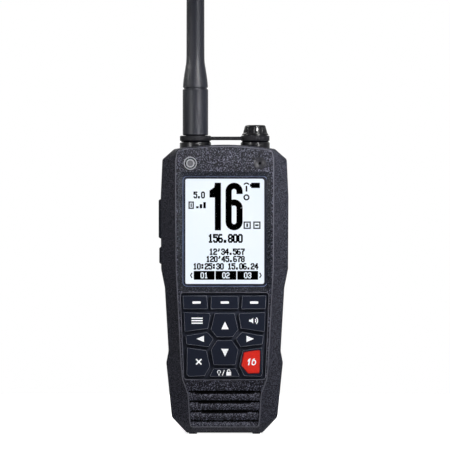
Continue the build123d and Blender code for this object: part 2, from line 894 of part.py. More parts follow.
def antenna_whip():
    x, y = antenna_at
    low = sleeve_top + 0.5
    straight = low + flare_height
    tip = antenna_top
    tip_radius = whip_radius - 0.2
    profile = (
        Line((2.55, low), (sleeve_radius - 0.4, low))
        + Line((sleeve_radius - 0.4, low), (sleeve_radius - 0.1, low + 0.4))
        + Spline(
            (sleeve_radius - 0.1, low + 0.4),
            (whip_radius + 0.9, low + 0.5 * flare_height),
            (whip_radius, straight),
            tangents=[(-0.05, 1), (0, 1)],
        )
        + Line((whip_radius, straight), (tip_radius, tip - tip_radius))
        + ThreePointArc(
            (tip_radius, tip - tip_radius),
            (tip_radius * cos(pi / 4), tip - tip_radius * (1 - sin(pi / 4))),
            (0, tip),
        )
        + Line((0, tip), (0, straight + 0.5))
        + Line((0, straight + 0.5), (2.55, straight + 0.5))
        + Line((2.55, straight + 0.5), (2.55, low))
    )
    whip = revolve(Plane.XZ * make_face(profile), Axis.Z)
    return Pos(x, y, 0) * whip


# ------------------------------------------------------------------ jack, cap and tether
def jack_collar():
    x, y = jack_at
    bore = stud_radius + fit_gap
    seat = ring(x, y, seat_z, seat_top, jack_seat_radius, bore)
    rim = seat.edges().filter_by(GeomType.CIRCLE).group_by(Axis.Z)[-1]
    neck = ring(x, y, seat_top - 0.1, tether_top + 1.6, jack_neck_radius, bore)
    return chamfer(rim.sort_by(SortBy.LENGTH)[-1], 0.8) + neck


def jack_socket():
    x, y = jack_at
    body = block(x - 4, x + 4, y - 4, y + 4, boss_bottom - 12, boss_bottom)
    body += post(x, y, boss_bottom - 0.1, tether_top + 1.2, stud_radius)
    return body - post(x, y, boss_bottom - 8, tether_top + 2, jack_bore_radius)


def cap_o_ring():
    x, y = jack_at
    low = tether_top + 1.6
    return ring(x, y, low + shaft_gap, low + 0.9, jack_neck_radius - 0.1, stud_radius + 0.1)


def jack_cap():
    """A tapered cap with scalloped flutes over a smooth flared foot."""
    x, y = jack_at
    low, high = cap_bottom, cap_bottom + cap_height
    profile = (
        Polyline(
            (0, low), (cap_base_radius, low), (cap_base_radius - 0.15, low + 0.7),
            (cap_base_radius - 0.6, low + 1.1), (cap_top_radius + 0.35, high - 0.5),
        )
        + ThreePointArc(
            (cap_top_radius + 0.35, high - 0.5),
            (cap_top_radius, high - 0.08),
            (cap_top_radius - 0.6, high),
        )
        + Polyline((cap_top_radius - 0.6, high), (0, high + 0.15), (0, low))
    )
    cap = revolve(Plane.XZ * make_face(profile), Axis.Z)
    flute = Pos(cap_base_radius + 0.1, 0, low + 0.9) * extrude(
        Circle(1.25), cap_height, taper=-4
    )
    cap -= [Rot(0, 0, (i + 0.5) * 360 / cap_flutes) * flute for i in range(cap_flutes)]
    cap += post(0, 0, seat_top + snug, low + 0.1, 5.7)
    cap -= post(0, 0, seat_top - 1, tether_top + 2.6, jack_neck_radius + snug)
    return Pos(x, y, 0) * cap


def cap_tether():
    """A ring round the antenna's seat, a ring round the cap's neck and the strap between."""
    ring_low = seat_top + shaft_gap
    ring_high = tether_top - shaft_gap
    rings = None
    holes = None
    for (x, y), inner, outer in (
        (antenna_at, 5.1, antenna_seat_radius - 0.1),
        (jack_at, 5.85, 5.85 + tether_ring_wall),
    ):
        band = post(x, y, ring_low, ring_high, outer)
        band = chamfer(band.edges().filter_by(GeomType.CIRCLE), 0.35)
        hole = post(x, y, ring_low - 1, ring_high + 1, inner)
        rings = band if rings is None else rings + band
        holes = hole if holes is None else holes + hole
    middle = (ring_low + ring_high) / 2
    strap = block(
        -antenna_x, jack_x, y_antenna - strap_width / 2, y_antenna + strap_width / 2,
        middle - strap_thickness / 2, middle + strap_thickness / 2,
    )
    return rings + strap - holes


# ------------------------------------------------------------------ battery pack
def battery_case():
    outer = rear_form() & slab(y_case, beyond, pack_top)
    hollow = rear_form(case_wall) & slab(y_case - 1, beyond, pack_top - case_wall)
    case = outer - hollow
    case += prism(disc(0, coin_screw_z, coin_screw_radius + 1.8), y_case, y_back) & outer
    # Stepped hole of the coin screw and its ring, and the charging pads' sinks
    cuts = [
        prism(disc(0, coin_screw_z, coin_ring_radius + lid_gap), y_case - 1, y_ring_stop),
        prism(disc(0, coin_screw_z, coin_shank_radius + 0.2), y_case, y_back),
        prism(disc(0, coin_screw_z, coin_screw_radius + 0.3), y_coin_seat, y_back + 1),
    ]
    for side in (-1, 1):
        cuts.append(prism(disc(side * 7, 9, 2.0 + shaft_gap), y_back - 0.4, y_back + 1))
    case -= cuts
    # Ears that carry the belt clip's pin
    ear = Pos(y_pivot, clip_pivot_z) * Circle(clip_ear_radius)
    foot = [
        (y_back - 0.5, clip_pivot_z - 5.0), (y_back - 0.5, clip_pivot_z + 5.0),
        (y_pivot, clip_pivot_z + clip_ear_radius), (y_pivot, clip_pivot_z - clip_ear_radius),
    ]
    ear += make_face(Polyline(*foot, close=True))
    ear -= Pos(y_pivot, clip_pivot_z) * Circle(clip_pin_radius + shaft_gap)
    inner = clip_neck_width / 2 + lid_gap
    raised = [
        side_prism(ear, inner, inner + clip_ear_thickness),
        side_prism(ear, -inner - clip_ear_thickness, -inner),
    ]
    y_foot = y_case + 0.5
    for low, high in foot_spans():
        raised.append(block(low, high, y_foot, y_foot + rear_foot_depth, 0, foot_height + 1))
    return case + raised


def battery_lid():
    lid = rear_form() & slab(y_lid, y_case, pack_top)
    cuts = [prism(disc(0, coin_screw_z, coin_shank_radius + 0.5), y_lid - 1, y_case + 1)]
    for x in contact_places():
        cuts.append(prism(Pos(x, contact_z) * Rectangle(2.6, 5.2), y_lid - 1, y_case + 1))
    lid -= cuts
    return lid + [prism(tongue, y_bay - 1.0, y_lid + 0.1) for tongue in tongues()]


def battery_cells():
    y_front = y_case + 1.6
    y_rear = y_back - case_wall - 0.3
    cells = []
    for side in (-1, 1):
        x = side * (cell_width / 2 + 0.3)
        outline = Pos(x, cell_bottom + cell_height / 2) * Rectangle(cell_width, cell_height)
        cell = prism(outline, y_front, y_rear)
        cells.append(fillet(cell.edges().filter_by(Axis.Z), 2.0))
    return Compound(children=cells)


def battery_board():
    outline = Pos(0, contact_z) * Rectangle(26, 14)
    return prism(outline, y_case + 0.3, y_case + 1.5)


def battery_contacts():
    pads = []
    for x in contact_places():
        outline = Pos(x, contact_z) * Rectangle(2.4, 5.0)
        pads.append(prism(outline, y_lid, y_case + 0.3))
    for side in (-1, 1):
        pads.append(prism(disc(side * 7, 9, 2.0), y_back - 0.4, y_back - 0.05))
    return Compound(children=pads)


def battery_screw_ring():
    outline = disc(0, coin_screw_z, coin_ring_radius)
    outline -= disc(0, coin_screw_z, coin_shank_radius + snug)
    return prism(outline, y_ring, y_ring + coin_ring_thickness)


def battery_screw():
    head = prism(
        disc(0, coin_screw_z, coin_screw_radius), y_coin_seat + snug, y_back - 0.2
    )
    head = chamfer(head.faces().sort_by(Axis.Y)[-1].edges(), 0.4)
    slot = block(-6, 6, y_back - 1.6, y_back + 1, coin_screw_z - 0.8, coin_screw_z + 0.8)
    shank = prism(disc(0, coin_screw_z, coin_shank_radius), y_bay - 2.6, y_coin_seat + 0.2)
    return head + shank - slot


# ------------------------------------------------------------------ belt clip, strap lug
def belt_clip():
    """A sprung arm: thumb pad above the pin, paddle and hooked tip below it."""
    y_out = y_back + clip_reach
    tip = clip_bottom
    arm = [
        (y_out, clip_top - 1.5), (y_out, tip + 6), (y_out - 1.2, tip + 2.5),
        (y_back + 1.6, tip), (y_back + 0.3, tip + 2.2), (y_back + 0.3, tip + 4.4),
        (y_clip, tip + 9), (y_clip, clip_top - 1.5), (y_clip + 0.6, clip_top),
        (y_out - 0.6, clip_top),
    ]
    side_view = make_face(Polyline(*arm, close=True))
    side_view += Pos(y_pivot, clip_pivot_z) * Circle(2.6)
    neck, wide, foot = clip_neck_width / 2, clip_width / 2, clip_width / 2 - 2
    low = clip_pivot_z - 8
    front_view = [
        (-foot, tip - 1), (-wide, tip + 14), (-wide, low - 3), (-neck, low), (-neck, clip_top + 1),
        (neck, clip_top + 1), (neck, low), (wide, low - 3), (wide, tip + 14), (foot, tip - 1),
    ]
    outline = rounded(front_view, 0.8)
    clip = side_prism(side_view, -wide, wide) & prism(outline, y_back - 1, y_out + 1)
    spring_room = block(
        -3.9, 3.9, y_back, y_pivot + 2.3, clip_pivot_z - 3.2, clip_pivot_z + 3.2
    )
    pin_hole = Pos(y_pivot, clip_pivot_z) * Circle(clip_pin_radius + shaft_gap)
    cuts = [spring_room, side_prism(pin_hole, -wide, wide)]
    for i in range(4):
        z = clip_top - 3.0 - 1.5 * i
        cuts.append(block(-6.5, 6.5, y_out - 0.4, y_out + 1, z - 0.4, z + 0.4))
    return clip - cuts


def belt_clip_pin():
    reach = clip_neck_width / 2 + lid_gap + clip_ear_thickness
    outline = Pos(y_pivot, clip_pivot_z) * Circle(clip_pin_radius)
    return side_prism(outline, -reach, reach)


def belt_clip_spring():
    """Closed outer form of the torsion spring's coil, with its two legs."""
    coil = Circle(2.0) - Circle(clip_pin_radius + snug)
    spring = side_prism(Pos(y_pivot, clip_pivot_z) * coil, -3.4, 3.4)
    arm_leg = block(2.6, 3.4, y_clip - 1.2, y_clip - 0.3, clip_pivot_z - 10, clip_pivot_z)
    case_leg = block(
        -3.4, -2.6, y_back + 0.3, y_back + 1.2, clip_pivot_z - 10, clip_pivot_z - 1
    )
    knee = block(
        -3.4, -2.6, y_back + 0.3, y_pivot - 1.5, clip_pivot_z - 1.4, clip_pivot_z - 0.5
    )
    return spring + arm_leg - side_prism(Pos(y_pivot, clip_pivot_z) * Circle(1.35), -9, 9) + (
        case_leg + knee
    )


def strap_lug():
    """A loop on the back of the head for a wrist strap."""
    profile = Pos(y_back + 2.7, lug_z) * Circle(lug_hole_radius + 1.8)
    foot = [
        (y_back, lug_z - 5.5), (y_back, lug_z + 5.5),
        (y_back + 2.7, lug_z + lug_hole_radius + 1.8),
        (y_back + 2.7, lug_z - lug_hole_radius - 1.8),
    ]
    profile += make_face(Polyline(*foot, close=True))
    profile -= Pos(y_back + 2.7, lug_z) * Circle(lug_hole_radius)
    lug = side_prism(profile, lug_x - lug_width / 2, lug_x + lug_width / 2)
    return lug - slab(-beyond, y_back)


# ------------------------------------------------------------------ write the parts
pieces = {
    "front_housing": front_housing,
    "rear_housing": rear_housing,
    "housing_gasket": housing_gasket,
    "housing_screws": housing_screws,
    "display_window": display_window,
    "display_gasket": display_gasket,
    "lcd_panel": lcd_panel,
    "lcd_backlight": lcd_backlight,
    "main_board": main_board,
    "key_domes": key_domes,
    "keypad_mat": keypad_mat,
    "chassis_frame": chassis_frame,
    "rf_board": rf_board,
    "shield_cans": shield_cans,
    "side_switches": side_switches,
    "gps_antenna": gps_antenna,
    "battery_springs": battery_springs,
    "speaker_mesh": speaker_mesh,
    "speaker_frame": speaker_frame,
    "speaker_cone": speaker_cone,
    "microphone": microphone,
    "channel_16_cap": channel_16_cap,
    "power_button": power_button,
    "ptt_button": ptt_button,
    "side_key": side_key,
    "antenna_seat": antenna_seat,
    "antenna_connector": antenna_connector,
    "antenna_o_ring": antenna_o_ring,
    "antenna_sleeve": antenna_sleeve,
    "antenna_core": antenna_core,
    "antenna_whip": antenna_whip,
    "jack_collar": jack_collar,
    "jack_socket": jack_socket,
    "cap_o_ring": cap_o_ring,
    "jack_cap": jack_cap,
    "cap_tether": cap_tether,
    "battery_case": battery_case,
    "battery_lid": battery_lid,
    "battery_cells": battery_cells,
    "battery_board": battery_board,
    "battery_contacts": battery_contacts,
    "battery_screw_ring": battery_screw_ring,
    "battery_screw": battery_screw,
    "belt_clip": belt_clip,
    "belt_clip_pin": belt_clip_pin,
    "belt_clip_spring": belt_clip_spring,
    "strap_lug": strap_lug,
}

os.makedirs("parts", exist_ok=True)
for name, build in pieces.items():
    export_step(build(), f"parts/{name}.step")
for name, corners in key_layout():
    solid = channel_16_key() if name == "channel_16_key" else key(corners)
    export_step(solid, f"parts/{name}.step")
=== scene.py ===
# %% [markdown]
# # A handheld marine radio, dressed for its picture
#
# The radio's solids come from the CAD side as a fixed frame. Here each of them gets a finish
# that a maker would recognise, such as grained plastic, satin rubber or polished black, and
# the small things that only show up close are built as meshes: the numerals on the display,
# the printed marks on the keys, the cap's rubber tether, the clip's spring and the threads.
#
# Everything is in metres with Z up, and the front of the radio looks along -Y.

import json
from math import cos, pi, radians, sin

import bmesh
import bpy
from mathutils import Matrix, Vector


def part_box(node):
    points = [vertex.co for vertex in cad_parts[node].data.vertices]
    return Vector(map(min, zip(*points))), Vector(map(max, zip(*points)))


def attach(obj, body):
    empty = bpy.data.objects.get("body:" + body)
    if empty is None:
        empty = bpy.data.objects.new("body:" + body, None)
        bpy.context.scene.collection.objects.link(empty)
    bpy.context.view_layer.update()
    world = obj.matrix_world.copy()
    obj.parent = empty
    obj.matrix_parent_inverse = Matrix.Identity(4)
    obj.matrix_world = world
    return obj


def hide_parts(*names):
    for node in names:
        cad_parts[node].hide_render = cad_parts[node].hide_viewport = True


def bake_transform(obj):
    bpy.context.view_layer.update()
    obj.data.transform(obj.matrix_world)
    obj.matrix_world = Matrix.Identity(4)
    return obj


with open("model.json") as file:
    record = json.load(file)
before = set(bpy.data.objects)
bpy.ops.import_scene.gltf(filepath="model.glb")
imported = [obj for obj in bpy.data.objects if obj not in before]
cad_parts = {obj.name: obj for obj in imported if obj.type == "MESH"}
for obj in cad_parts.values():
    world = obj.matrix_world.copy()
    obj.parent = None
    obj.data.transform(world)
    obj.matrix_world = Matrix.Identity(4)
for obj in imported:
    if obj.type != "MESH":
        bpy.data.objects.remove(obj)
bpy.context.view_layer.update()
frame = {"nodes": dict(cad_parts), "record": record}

# %% [markdown]
# ## Measures taken from the frame
#
# A piece that is made here has to sit on the solid that carries it. Its place could be typed
# in, but then it would float or sink as soon as the solid changed. So the places are read
# from the solids' own boxes, in millimetres, which are easier to think in for a thing this
# small, and turned into metres only when a mesh is made.

# %% Sizes in millimetres
MM = 0.001


def edges_of(node):
    """(x low, x high), (y low, y high), (z low, z high) of a node, in millimetres."""
    low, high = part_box(node)
    return [(a / MM, b / MM) for a, b in zip(low, high)]


def middle(span):
    """The middle of a (low, high) pair."""
    return (span[0] + span[1]) / 2


window_sink = 0.7
y_face = edges_of("display_window")[1][0] - window_sink
y_display = edges_of("lcd_panel")[1][0]
y_key_top = edges_of("up_key")[1][0]
print(f"face at {y_face:.2f}, display at {y_display:.2f}, keys at {y_key_top:.2f}")

# %% [markdown]
# ## The camera
#
# A product picture of a tall, slim thing is taken from far away with a long lens, because a
# near camera would make the antenna lean back. The camera could be orthographic, but a real
# lens keeps a trace of depth at the edges. The lens length follows from three things: how
# far the camera stands, how wide the sensor is, and how much of the radio it should see.

# %% Camera
frame_width = 217.8 * MM
aim_height = 101.4 * MM
aim_side = 0.2 * MM
camera_distance = 2.4

camera_data = bpy.data.cameras.new("camera")
camera_data.sensor_width = 36.0
camera_data.lens = camera_data.sensor_width * camera_distance / frame_width
camera = bpy.data.objects.new("camera", camera_data)
camera.location = (aim_side, y_face * MM - camera_distance, aim_height)
camera.rotation_euler = (radians(90), 0, 0)
bpy.context.collection.objects.link(camera)
bpy.context.scene.camera = camera
bpy.context.scene.view_settings.view_transform = "Standard"
print("lens", round(camera_data.lens, 1), "mm")

# %% [markdown]
# ## Lights, world and floor
#
# Dark plastic shows its shape through reflections, so the lamps are panels, as in a studio: a
# small one close by for the face, one far out on each side for the flanks, one from above and
# a large one behind. Four narrow strips are seen by reflections only. They draw the bright
# lines along rounded rubber and the cap's flutes, and light nothing else.
#
# The world could simply be white, but then it would wash the black plastic out. Its light is
# kept low for the surfaces and white only for the rays that the camera, a reflection or the
# window sends out, which Light Path tells apart.

# %% Lamps
def lamp(name, place, aim, size, power, beam=180):
    """A square studio panel at place that faces aim, its light held to a beam in degrees."""
    data = bpy.data.lights.new(name, "AREA")
    data.shape = "SQUARE"
    data.size = size
    data.energy = power
    data.spread = radians(beam)
    panel = bpy.data.objects.new(name, data)
    panel.location = place
    panel.rotation_euler = (Vector(aim) - Vector(place)).to_track_quat("-Z", "Y").to_euler()
    bpy.context.collection.objects.link(panel)
    return panel


body_centre, crown_middle, above_cap = (0, 0, 0.09), (0, 0, 0.15), (0.015, -0.01, 0.17)
lamp("key_panel", (0.18, -0.29, 0.25), (0.015, 0, 0.14), 0.07, 0.18, 60)
lamp("side_panel", (0.5, -0.3, 0.24), body_centre, 0.1, 0.64)
lamp("top_panel", (0.1, -0.35, 0.6), body_centre, 0.08, 0.22)
lamp("left_panel", (-0.7, -0.5, 0.25), body_centre, 0.06, 0.32)
lamp("back_panel", (-0.4, 1.2, 0.8), body_centre, 0.8, 9.0)
strip_length, strip_width = 0.1, 0.04
for name, place, aim, power, beam in (
    ("left_strip", (-0.4, -0.5, 0.08), crown_middle, 0.03, 12),
    ("right_strip", (0.3, -0.6, 0.08), crown_middle, 0.035, 12),
    ("cap_left_strip", (-0.6, -0.1, 0.5), above_cap, 0.04, 4),
    ("cap_right_strip", (0.24, -0.5, 0.5), above_cap, 0.05, 4),
):
    strip = lamp(name, place, aim, strip_length, power, beam)
    strip.data.shape = "RECTANGLE"
    strip.data.size_y = strip_width
    strip.visible_diffuse = False
print("lamps:", len(bpy.data.lights))

# %% [markdown]
# ### Wiring nodes
#
# The world, the floor and every finish are small networks of nodes. Making a node, filling
# its sockets and joining it to the others takes several lines, so one helper does all three.

# %% Node helpers
def add(tree, kind, *inputs, output=0, operation=None, **named):
    """Adds a node to a tree and returns one of its outputs.  Its sockets are filled in order
    by inputs, and by name where _ stands for a space: another node's output is joined, and
    anything else is set."""
    node = tree.nodes.new(kind)
    if operation:
        node.operation = operation
    filled = list(zip(node.inputs, inputs))
    filled += [(node.inputs[name.replace("_", " ")], value) for name, value in named.items()]
    for socket, value in filled:
        if isinstance(value, bpy.types.NodeSocket):
            tree.links.new(value, socket)
        else:
            socket.default_value = value
    return node.outputs[output] if node.outputs else None


def seen_directly(tree):
    """1 for camera, glossy and transmission rays, and 0 for those that light a surface."""
    rays = tree.nodes.new("ShaderNodeLightPath").outputs
    seen = rays["Is Camera Ray"]
    for kind in ("Is Glossy Ray", "Is Transmission Ray"):
        seen = add(tree, "ShaderNodeMath", seen, rays[kind], operation="MAXIMUM")
    return seen


# %% World and floor
world = bpy.data.worlds.new("studio")
world.use_nodes = True
bpy.context.scene.world = world
tree = world.node_tree
tree.nodes.clear()
room = add(tree, "ShaderNodeBackground", Color=(0.93, 0.95, 1.0, 1), Strength=0.04)
backdrop = add(tree, "ShaderNodeBackground", Color=(1, 1, 1, 1), Strength=1.0)
both = add(tree, "ShaderNodeMixShader", seen_directly(tree), room, backdrop)
add(tree, "ShaderNodeOutputWorld", Surface=both)

floor_radius = 0.55
floor_mesh = bpy.data.meshes.new("floor")
shape = bmesh.new()
bmesh.ops.create_circle(shape, cap_ends=True, segments=96, radius=floor_radius)
shape.to_mesh(floor_mesh)
shape.free()
floor = bpy.data.objects.new("floor", floor_mesh)
bpy.context.collection.objects.link(floor)
floor_paint = bpy.data.materials.new("floor_paint")
floor_paint.use_nodes = True
tree = floor_paint.node_tree
tree.nodes.clear()
matt = add(tree, "ShaderNodeBsdfDiffuse", Color=(0.9, 0.9, 0.9, 1))
lift = add(tree, "ShaderNodeEmission", Color=(0.85, 0.85, 0.85, 1), Strength=seen_directly(tree))
add(tree, "ShaderNodeOutputMaterial", Surface=add(tree, "ShaderNodeAddShader", matt, lift))
floor_mesh.materials.append(floor_paint)
print("floor radius", floor_radius, "m")

# %% [markdown]
# ## How a finish is made
#
# One shader, Principled BSDF, can be nearly every solid material. What makes it look like a
# moulded or rubbed surface is that neither its colour nor its roughness is even. Noise could
# be laid on with texture coordinates that follow the surface, but a moulded grain runs
# through the whole tool, so Object coordinates are the better choice: the pattern then has
# the same size on every piece and doesn't stretch round corners.

# %% Finish helpers
def finish(name, colour, roughness, shine=0.5, **sockets):
    """A material on one Principled shader, with its constants set on the shader itself.  Its
    shine is the Specular IOR Level, and other sockets go by name."""
    material = bpy.data.materials.new(name)
    material.use_nodes = True
    shader = material.node_tree.nodes["Principled BSDF"]
    shader.inputs["Base Color"].default_value = (*colour, 1)
    shader.inputs["Roughness"].default_value = roughness
    shader.inputs["Specular IOR Level"].default_value = shine
    for socket, value in sockets.items():
        shader.inputs[socket.replace("_", " ")].default_value = value
    return material


def noise_at(material, size, detail=2.0, stretch=(1, 1, 1)):
    """Noise with features about size metres across, on the piece's Object coordinates."""
    tree = material.node_tree
    place = add(tree, "ShaderNodeTexCoord", output="Object")
    scaled = add(tree, "ShaderNodeMapping", Vector=place, Scale=stretch)
    return add(tree, "ShaderNodeTexNoise", Vector=scaled, Scale=1 / size, Detail=detail)


def between(material, factor, low, high, first, last):
    """A colour that goes from first to last as the factor goes from low to high."""
    ramp = add(material.node_tree, "ShaderNodeValToRGB", factor)
    stops = ramp.node.color_ramp.elements
    for stop, place, colour in zip(stops, (low, high), (first, last)):
        stop.position = place
        stop.color = (*colour, 1)
    return ramp


def spread(material, factor, least, most):
    """The factor, moved from 0 to 1 onto least to most."""
    return add(material.node_tree, "ShaderNodeMapRange", factor, To_Min=least, To_Max=most)


def drive(material, output, socket):
    """Joins an output to the shader's socket."""
    tree = material.node_tree
    tree.links.new(output, tree.nodes["Principled BSDF"].inputs[socket])


def bumps(material, factor, height):
    """Raises the surface by the factor times height, in metres."""
    bump = add(material.node_tree, "ShaderNodeBump", Height=factor, Distance=height)
    drive(material, bump, "Normal")


def vary_roughness(material, size, least, most):
    """Lets the roughness drift between least and most, over about size metres."""
    drive(material, spread(material, noise_at(material, size), least, most), "Roughness")


def vary_colour(material, size, low, high, first, last):
    """Lets the colour drift from first to last, over about size metres."""
    patches = noise_at(material, size)
    drive(material, between(material, patches, low, high, first, last), "Base Color")


# %% [markdown]
# ## Moulded plastic
#
# The housings are glass-filled plastic from a spark-eroded tool, which leaves a coarse grain
# that glitters: each tiny hill catches the lamp at its own angle. A bump alone is lost at
# this scale, where a grain is about as wide as a point of the picture. So the grain also
# lightens the colour of its hills. On walls that slide along the tool when it opens, a deep
# grain would tear, so there it is finer, and its hills are painted darker as well: painted
# shade on the flanks. The surface's own direction, which Texture Coordinate gives as Normal,
# says which is which. On the gentle slopes of the louvres the hills are painted brighter, more
# so deeper down, a painted highlight where the slopes look up to the light. The battery case
# comes from a finer tool.

# %% Grained plastic
def share_along(material, coordinate, axis, least, most, either_way=False):
    """Rises from 0 to 1 as the coordinate along an axis goes from least to most.  With
    either_way the sign of the coordinate doesn't count."""
    tree = material.node_tree
    place = add(tree, "ShaderNodeTexCoord", output=coordinate)
    along = add(tree, "ShaderNodeSeparateXYZ", place, output=axis)
    if either_way:
        along = add(tree, "ShaderNodeMath", along, operation="ABSOLUTE")
    return add(tree, "ShaderNodeMapRange", along, From_Min=least, From_Max=most)


def flat_share(material, least=0.84, most=0.9, axis="Y"):
    """1 where the surface faces along the axis, either way, falling to 0 on the walls."""
    return share_along(material, "Normal", axis, least, most, either_way=True)


def mixed(material, factor, first, second):
    """The first colour where the factor is 0 and the second where it is 1."""
    tree = material.node_tree
    blend = tree.nodes.new("ShaderNodeMix")
    blend.data_type = "RGBA"
    sockets = [blend.inputs[0]] + [socket for socket in blend.inputs if socket.type == "RGBA"]
    for output, socket in zip((factor, first, second), sockets):
        tree.links.new(output, socket)
    return next(socket for socket in blend.outputs if socket.type == "RGBA")


face_hills, slope_hills, wall_hills = (0.53, 0.66), (0.46, 0.66), (0.42, 0.68)
slope_start, slope_full = y_face + 0.25, y_face + 0.75
wall_roughness = 0.7


def grained(name, dark, pale, size, roughness, height, wall_pale_painted_shade=None, slope_pale_painted_highlight=None):
    """Moulded plastic with a glittering grain of about that size in metres.  Where their own
    pale is given, the walls have a calmer grain, painted darker as painted shade, and the
    louvres' slopes a brighter one, a painted highlight."""
    plastic = finish(name, dark, roughness, shine=0.1)
    speck = noise_at(plastic, size, detail=3.0)
    colour = between(plastic, speck, *face_hills, dark, pale)
    # Painted highlight: deeper down the louvres' slopes, the hills get a paler colour.
    if slope_pale_painted_highlight:
        deep = share_along(plastic, "Object", "Y", slope_start * MM, slope_full * MM)
        slope = between(plastic, speck, *slope_hills, dark, slope_pale_painted_highlight)
        slope = mixed(plastic, deep, colour, slope)
        colour = mixed(plastic, flat_share(plastic, 0.3, 0.38, "Z"), colour, slope)
    # Painted shade: on the walls the hills get a darker pale than on the face.
    if wall_pale_painted_shade:
        wall = between(plastic, speck, *wall_hills, dark, wall_pale_painted_shade)
        share = flat_share(plastic)
        colour = mixed(plastic, share, wall, colour)
        drive(plastic, spread(plastic, share, wall_roughness, roughness), "Roughness")
    drive(plastic, colour, "Base Color")
    bumps(plastic, speck, height)
    return plastic


finishes = {}
# The walls' pale is painted shade, and the slopes' pale is a painted highlight.
finishes["housing"] = grained(
    "moulded_plastic", (0.003, 0.003, 0.006), (0.148, 0.153, 0.208), 0.00044, 0.5, 0.0003,
    wall_pale_painted_shade=(0.074, 0.076, 0.102), slope_pale_painted_highlight=(0.23, 0.235, 0.3),
)
# Here too the walls' darker pale is painted shade.
finishes["pack"] = grained(
    "pack_plastic", (0.004, 0.004, 0.007), (0.13, 0.13, 0.152), 0.00036, 0.55, 0.0002,
    wall_pale_painted_shade=(0.07, 0.07, 0.085),
)
finishes["clip"] = grained(
    "clip_plastic", (0.008, 0.008, 0.01), (0.045, 0.045, 0.052), 0.0003, 0.45, 0.00005
)
print("plastics:", ", ".join(finishes))


# %% [markdown]
# ## Rubbers
#
# The keypad is silicone with a sprayed satin coat, blue-black, and fingers polish it a
# little. The seals and the tether are plain matt rubber with a dusty bloom. All of these
# could be one material, but rubber is recognised by how its highlight spreads, so each has
# its own roughness, with slow noise moving it up and down.

# %% Satin and matt rubber
drift_size, fine_size = 0.004, 0.00025


def rubber(name, colour, least, most, shine, bloom=0.0):
    """Rubber whose roughness drifts between least and most.  Its flecks are a third paler than
    its colour, and paler still by a bloom."""
    soft = finish(name, colour, least, shine)
    drift = noise_at(soft, drift_size, detail=3.0)
    drive(soft, spread(soft, drift, least, most), "Roughness")
    fine = noise_at(soft, fine_size)
    pale = tuple(c * 1.35 + bloom for c in colour)
    drive(soft, between(soft, fine, 0.3, 0.75, colour, pale), "Base Color")
    bumps(soft, fine, 0.00001)
    return soft


finishes["key_rubber"] = rubber("key_rubber", (0.007, 0.0095, 0.019), 0.32, 0.42, 0.1)
finishes["seal"] = rubber("seal_rubber", (0.005, 0.005, 0.007), 0.55, 0.75, 0.08, bloom=0.002)
finishes["antenna_rubber"] = rubber("antenna_rubber", (0.011, 0.012, 0.0175), 0.36, 0.48, 0.11)
finishes["red_key"] = rubber("red_key", (0.72, 0.026, 0.016), 0.3, 0.4, 0.15)
print("rubbers:", finishes["key_rubber"].name, finishes["seal"].name)

# %% [markdown]
# ## Polished, clear and lit surfaces
#
# The seats and the jack's cap are polished black plastic. The cap's flutes shine, but its top
# is dull from dust and handling, so there its roughness is higher. The window is clear, and
# the display behind it is lit from its back: it gives light instead of taking it, so it is an
# emission of just under white, which drifts faintly in patches as in a real light guide.

# %% Gloss, glass and light
gloss = finish("polished_black", (0.001, 0.001, 0.002), 0.24, shine=0.14)
vary_roughness(gloss, 0.003, 0.2, 0.28)
cap_satin = finish("cap_satin", (0.001, 0.001, 0.002), 0.3, shine=0.12)
vary_colour(cap_satin, 0.0008, 0.4, 0.7, (0.001, 0.001, 0.002), (0.005, 0.005, 0.007))
drive(cap_satin, spread(cap_satin, flat_share(cap_satin, axis="Z"), 0.22, 0.85), "Roughness")

window = finish("clear_window", (1, 1, 1), 0.0, Transmission_Weight=1.0, IOR=1.02)
vary_roughness(window, 0.01, 0.0, 0.01)
lit = finish("lit_display", (0.02, 0.02, 0.025), 0.4, Emission_Strength=1.0)
glow = noise_at(lit, 0.03, detail=0.0)
drive(lit, between(lit, glow, 0.3, 0.7, (0.8, 0.88, 0.96), (0.85, 0.915, 0.98)), "Emission Color")
diffuser = finish("diffuser_white", (0.86, 0.88, 0.9), 0.5)
vary_colour(diffuser, 0.002, 0.3, 0.7, (0.82, 0.84, 0.86), (0.9, 0.92, 0.94))
finishes.update(gloss=gloss, window=window, lcd=lit, diffuser=diffuser)
print("finishes so far:", ", ".join(finishes))


# %% [markdown]
# ## Metals, boards and the rest of the inside
#
# Inside are stamped steel, gold-plated contacts, a die-cast chassis, green boards and the
# sleeved cells. They show only when the pack comes off or the radio is opened, but a part
# that is taken apart should have them all. Metal takes its colour from reflection, so its
# noise goes into the roughness, stretched along the way it was rolled or brushed.

# %% Metals
def metal(name, colour, least, most, grain_size, stretch=(1, 1, 1)):
    """Metal with its roughness varied by a stretched noise."""
    sheet = finish(name, colour, least, Metallic=1.0)
    marks = noise_at(sheet, grain_size, detail=4.0, stretch=stretch)
    drive(sheet, spread(sheet, marks, least, most), "Roughness")
    bumps(sheet, marks, 0.000004)
    return sheet


finishes["steel"] = metal("steel", (0.56, 0.57, 0.58), 0.22, 0.42, 0.0006, (1, 1, 0.15))
finishes["gold"] = metal("gold_plate", (0.83, 0.61, 0.28), 0.18, 0.3, 0.0008)
finishes["chassis"] = metal("die_cast", (0.5, 0.51, 0.52), 0.42, 0.62, 0.0005)
finishes["cell"] = metal("cell_sleeve", (0.16, 0.2, 0.3), 0.3, 0.42, 0.004, (1, 1, 0.2))


# %% Boards, cloth, cone and patch
def mottled(name, first, last, size, roughness, height=0.0, shine=0.5):
    """Two colours mixed by noise, with a little relief where height is given."""
    mix_of_two = finish(name, first, roughness, shine)
    patches = noise_at(mix_of_two, size, detail=4.0)
    drive(mix_of_two, between(mix_of_two, patches, 0.42, 0.58, first, last), "Base Color")
    if height:
        bumps(mix_of_two, patches, height)
    return mix_of_two


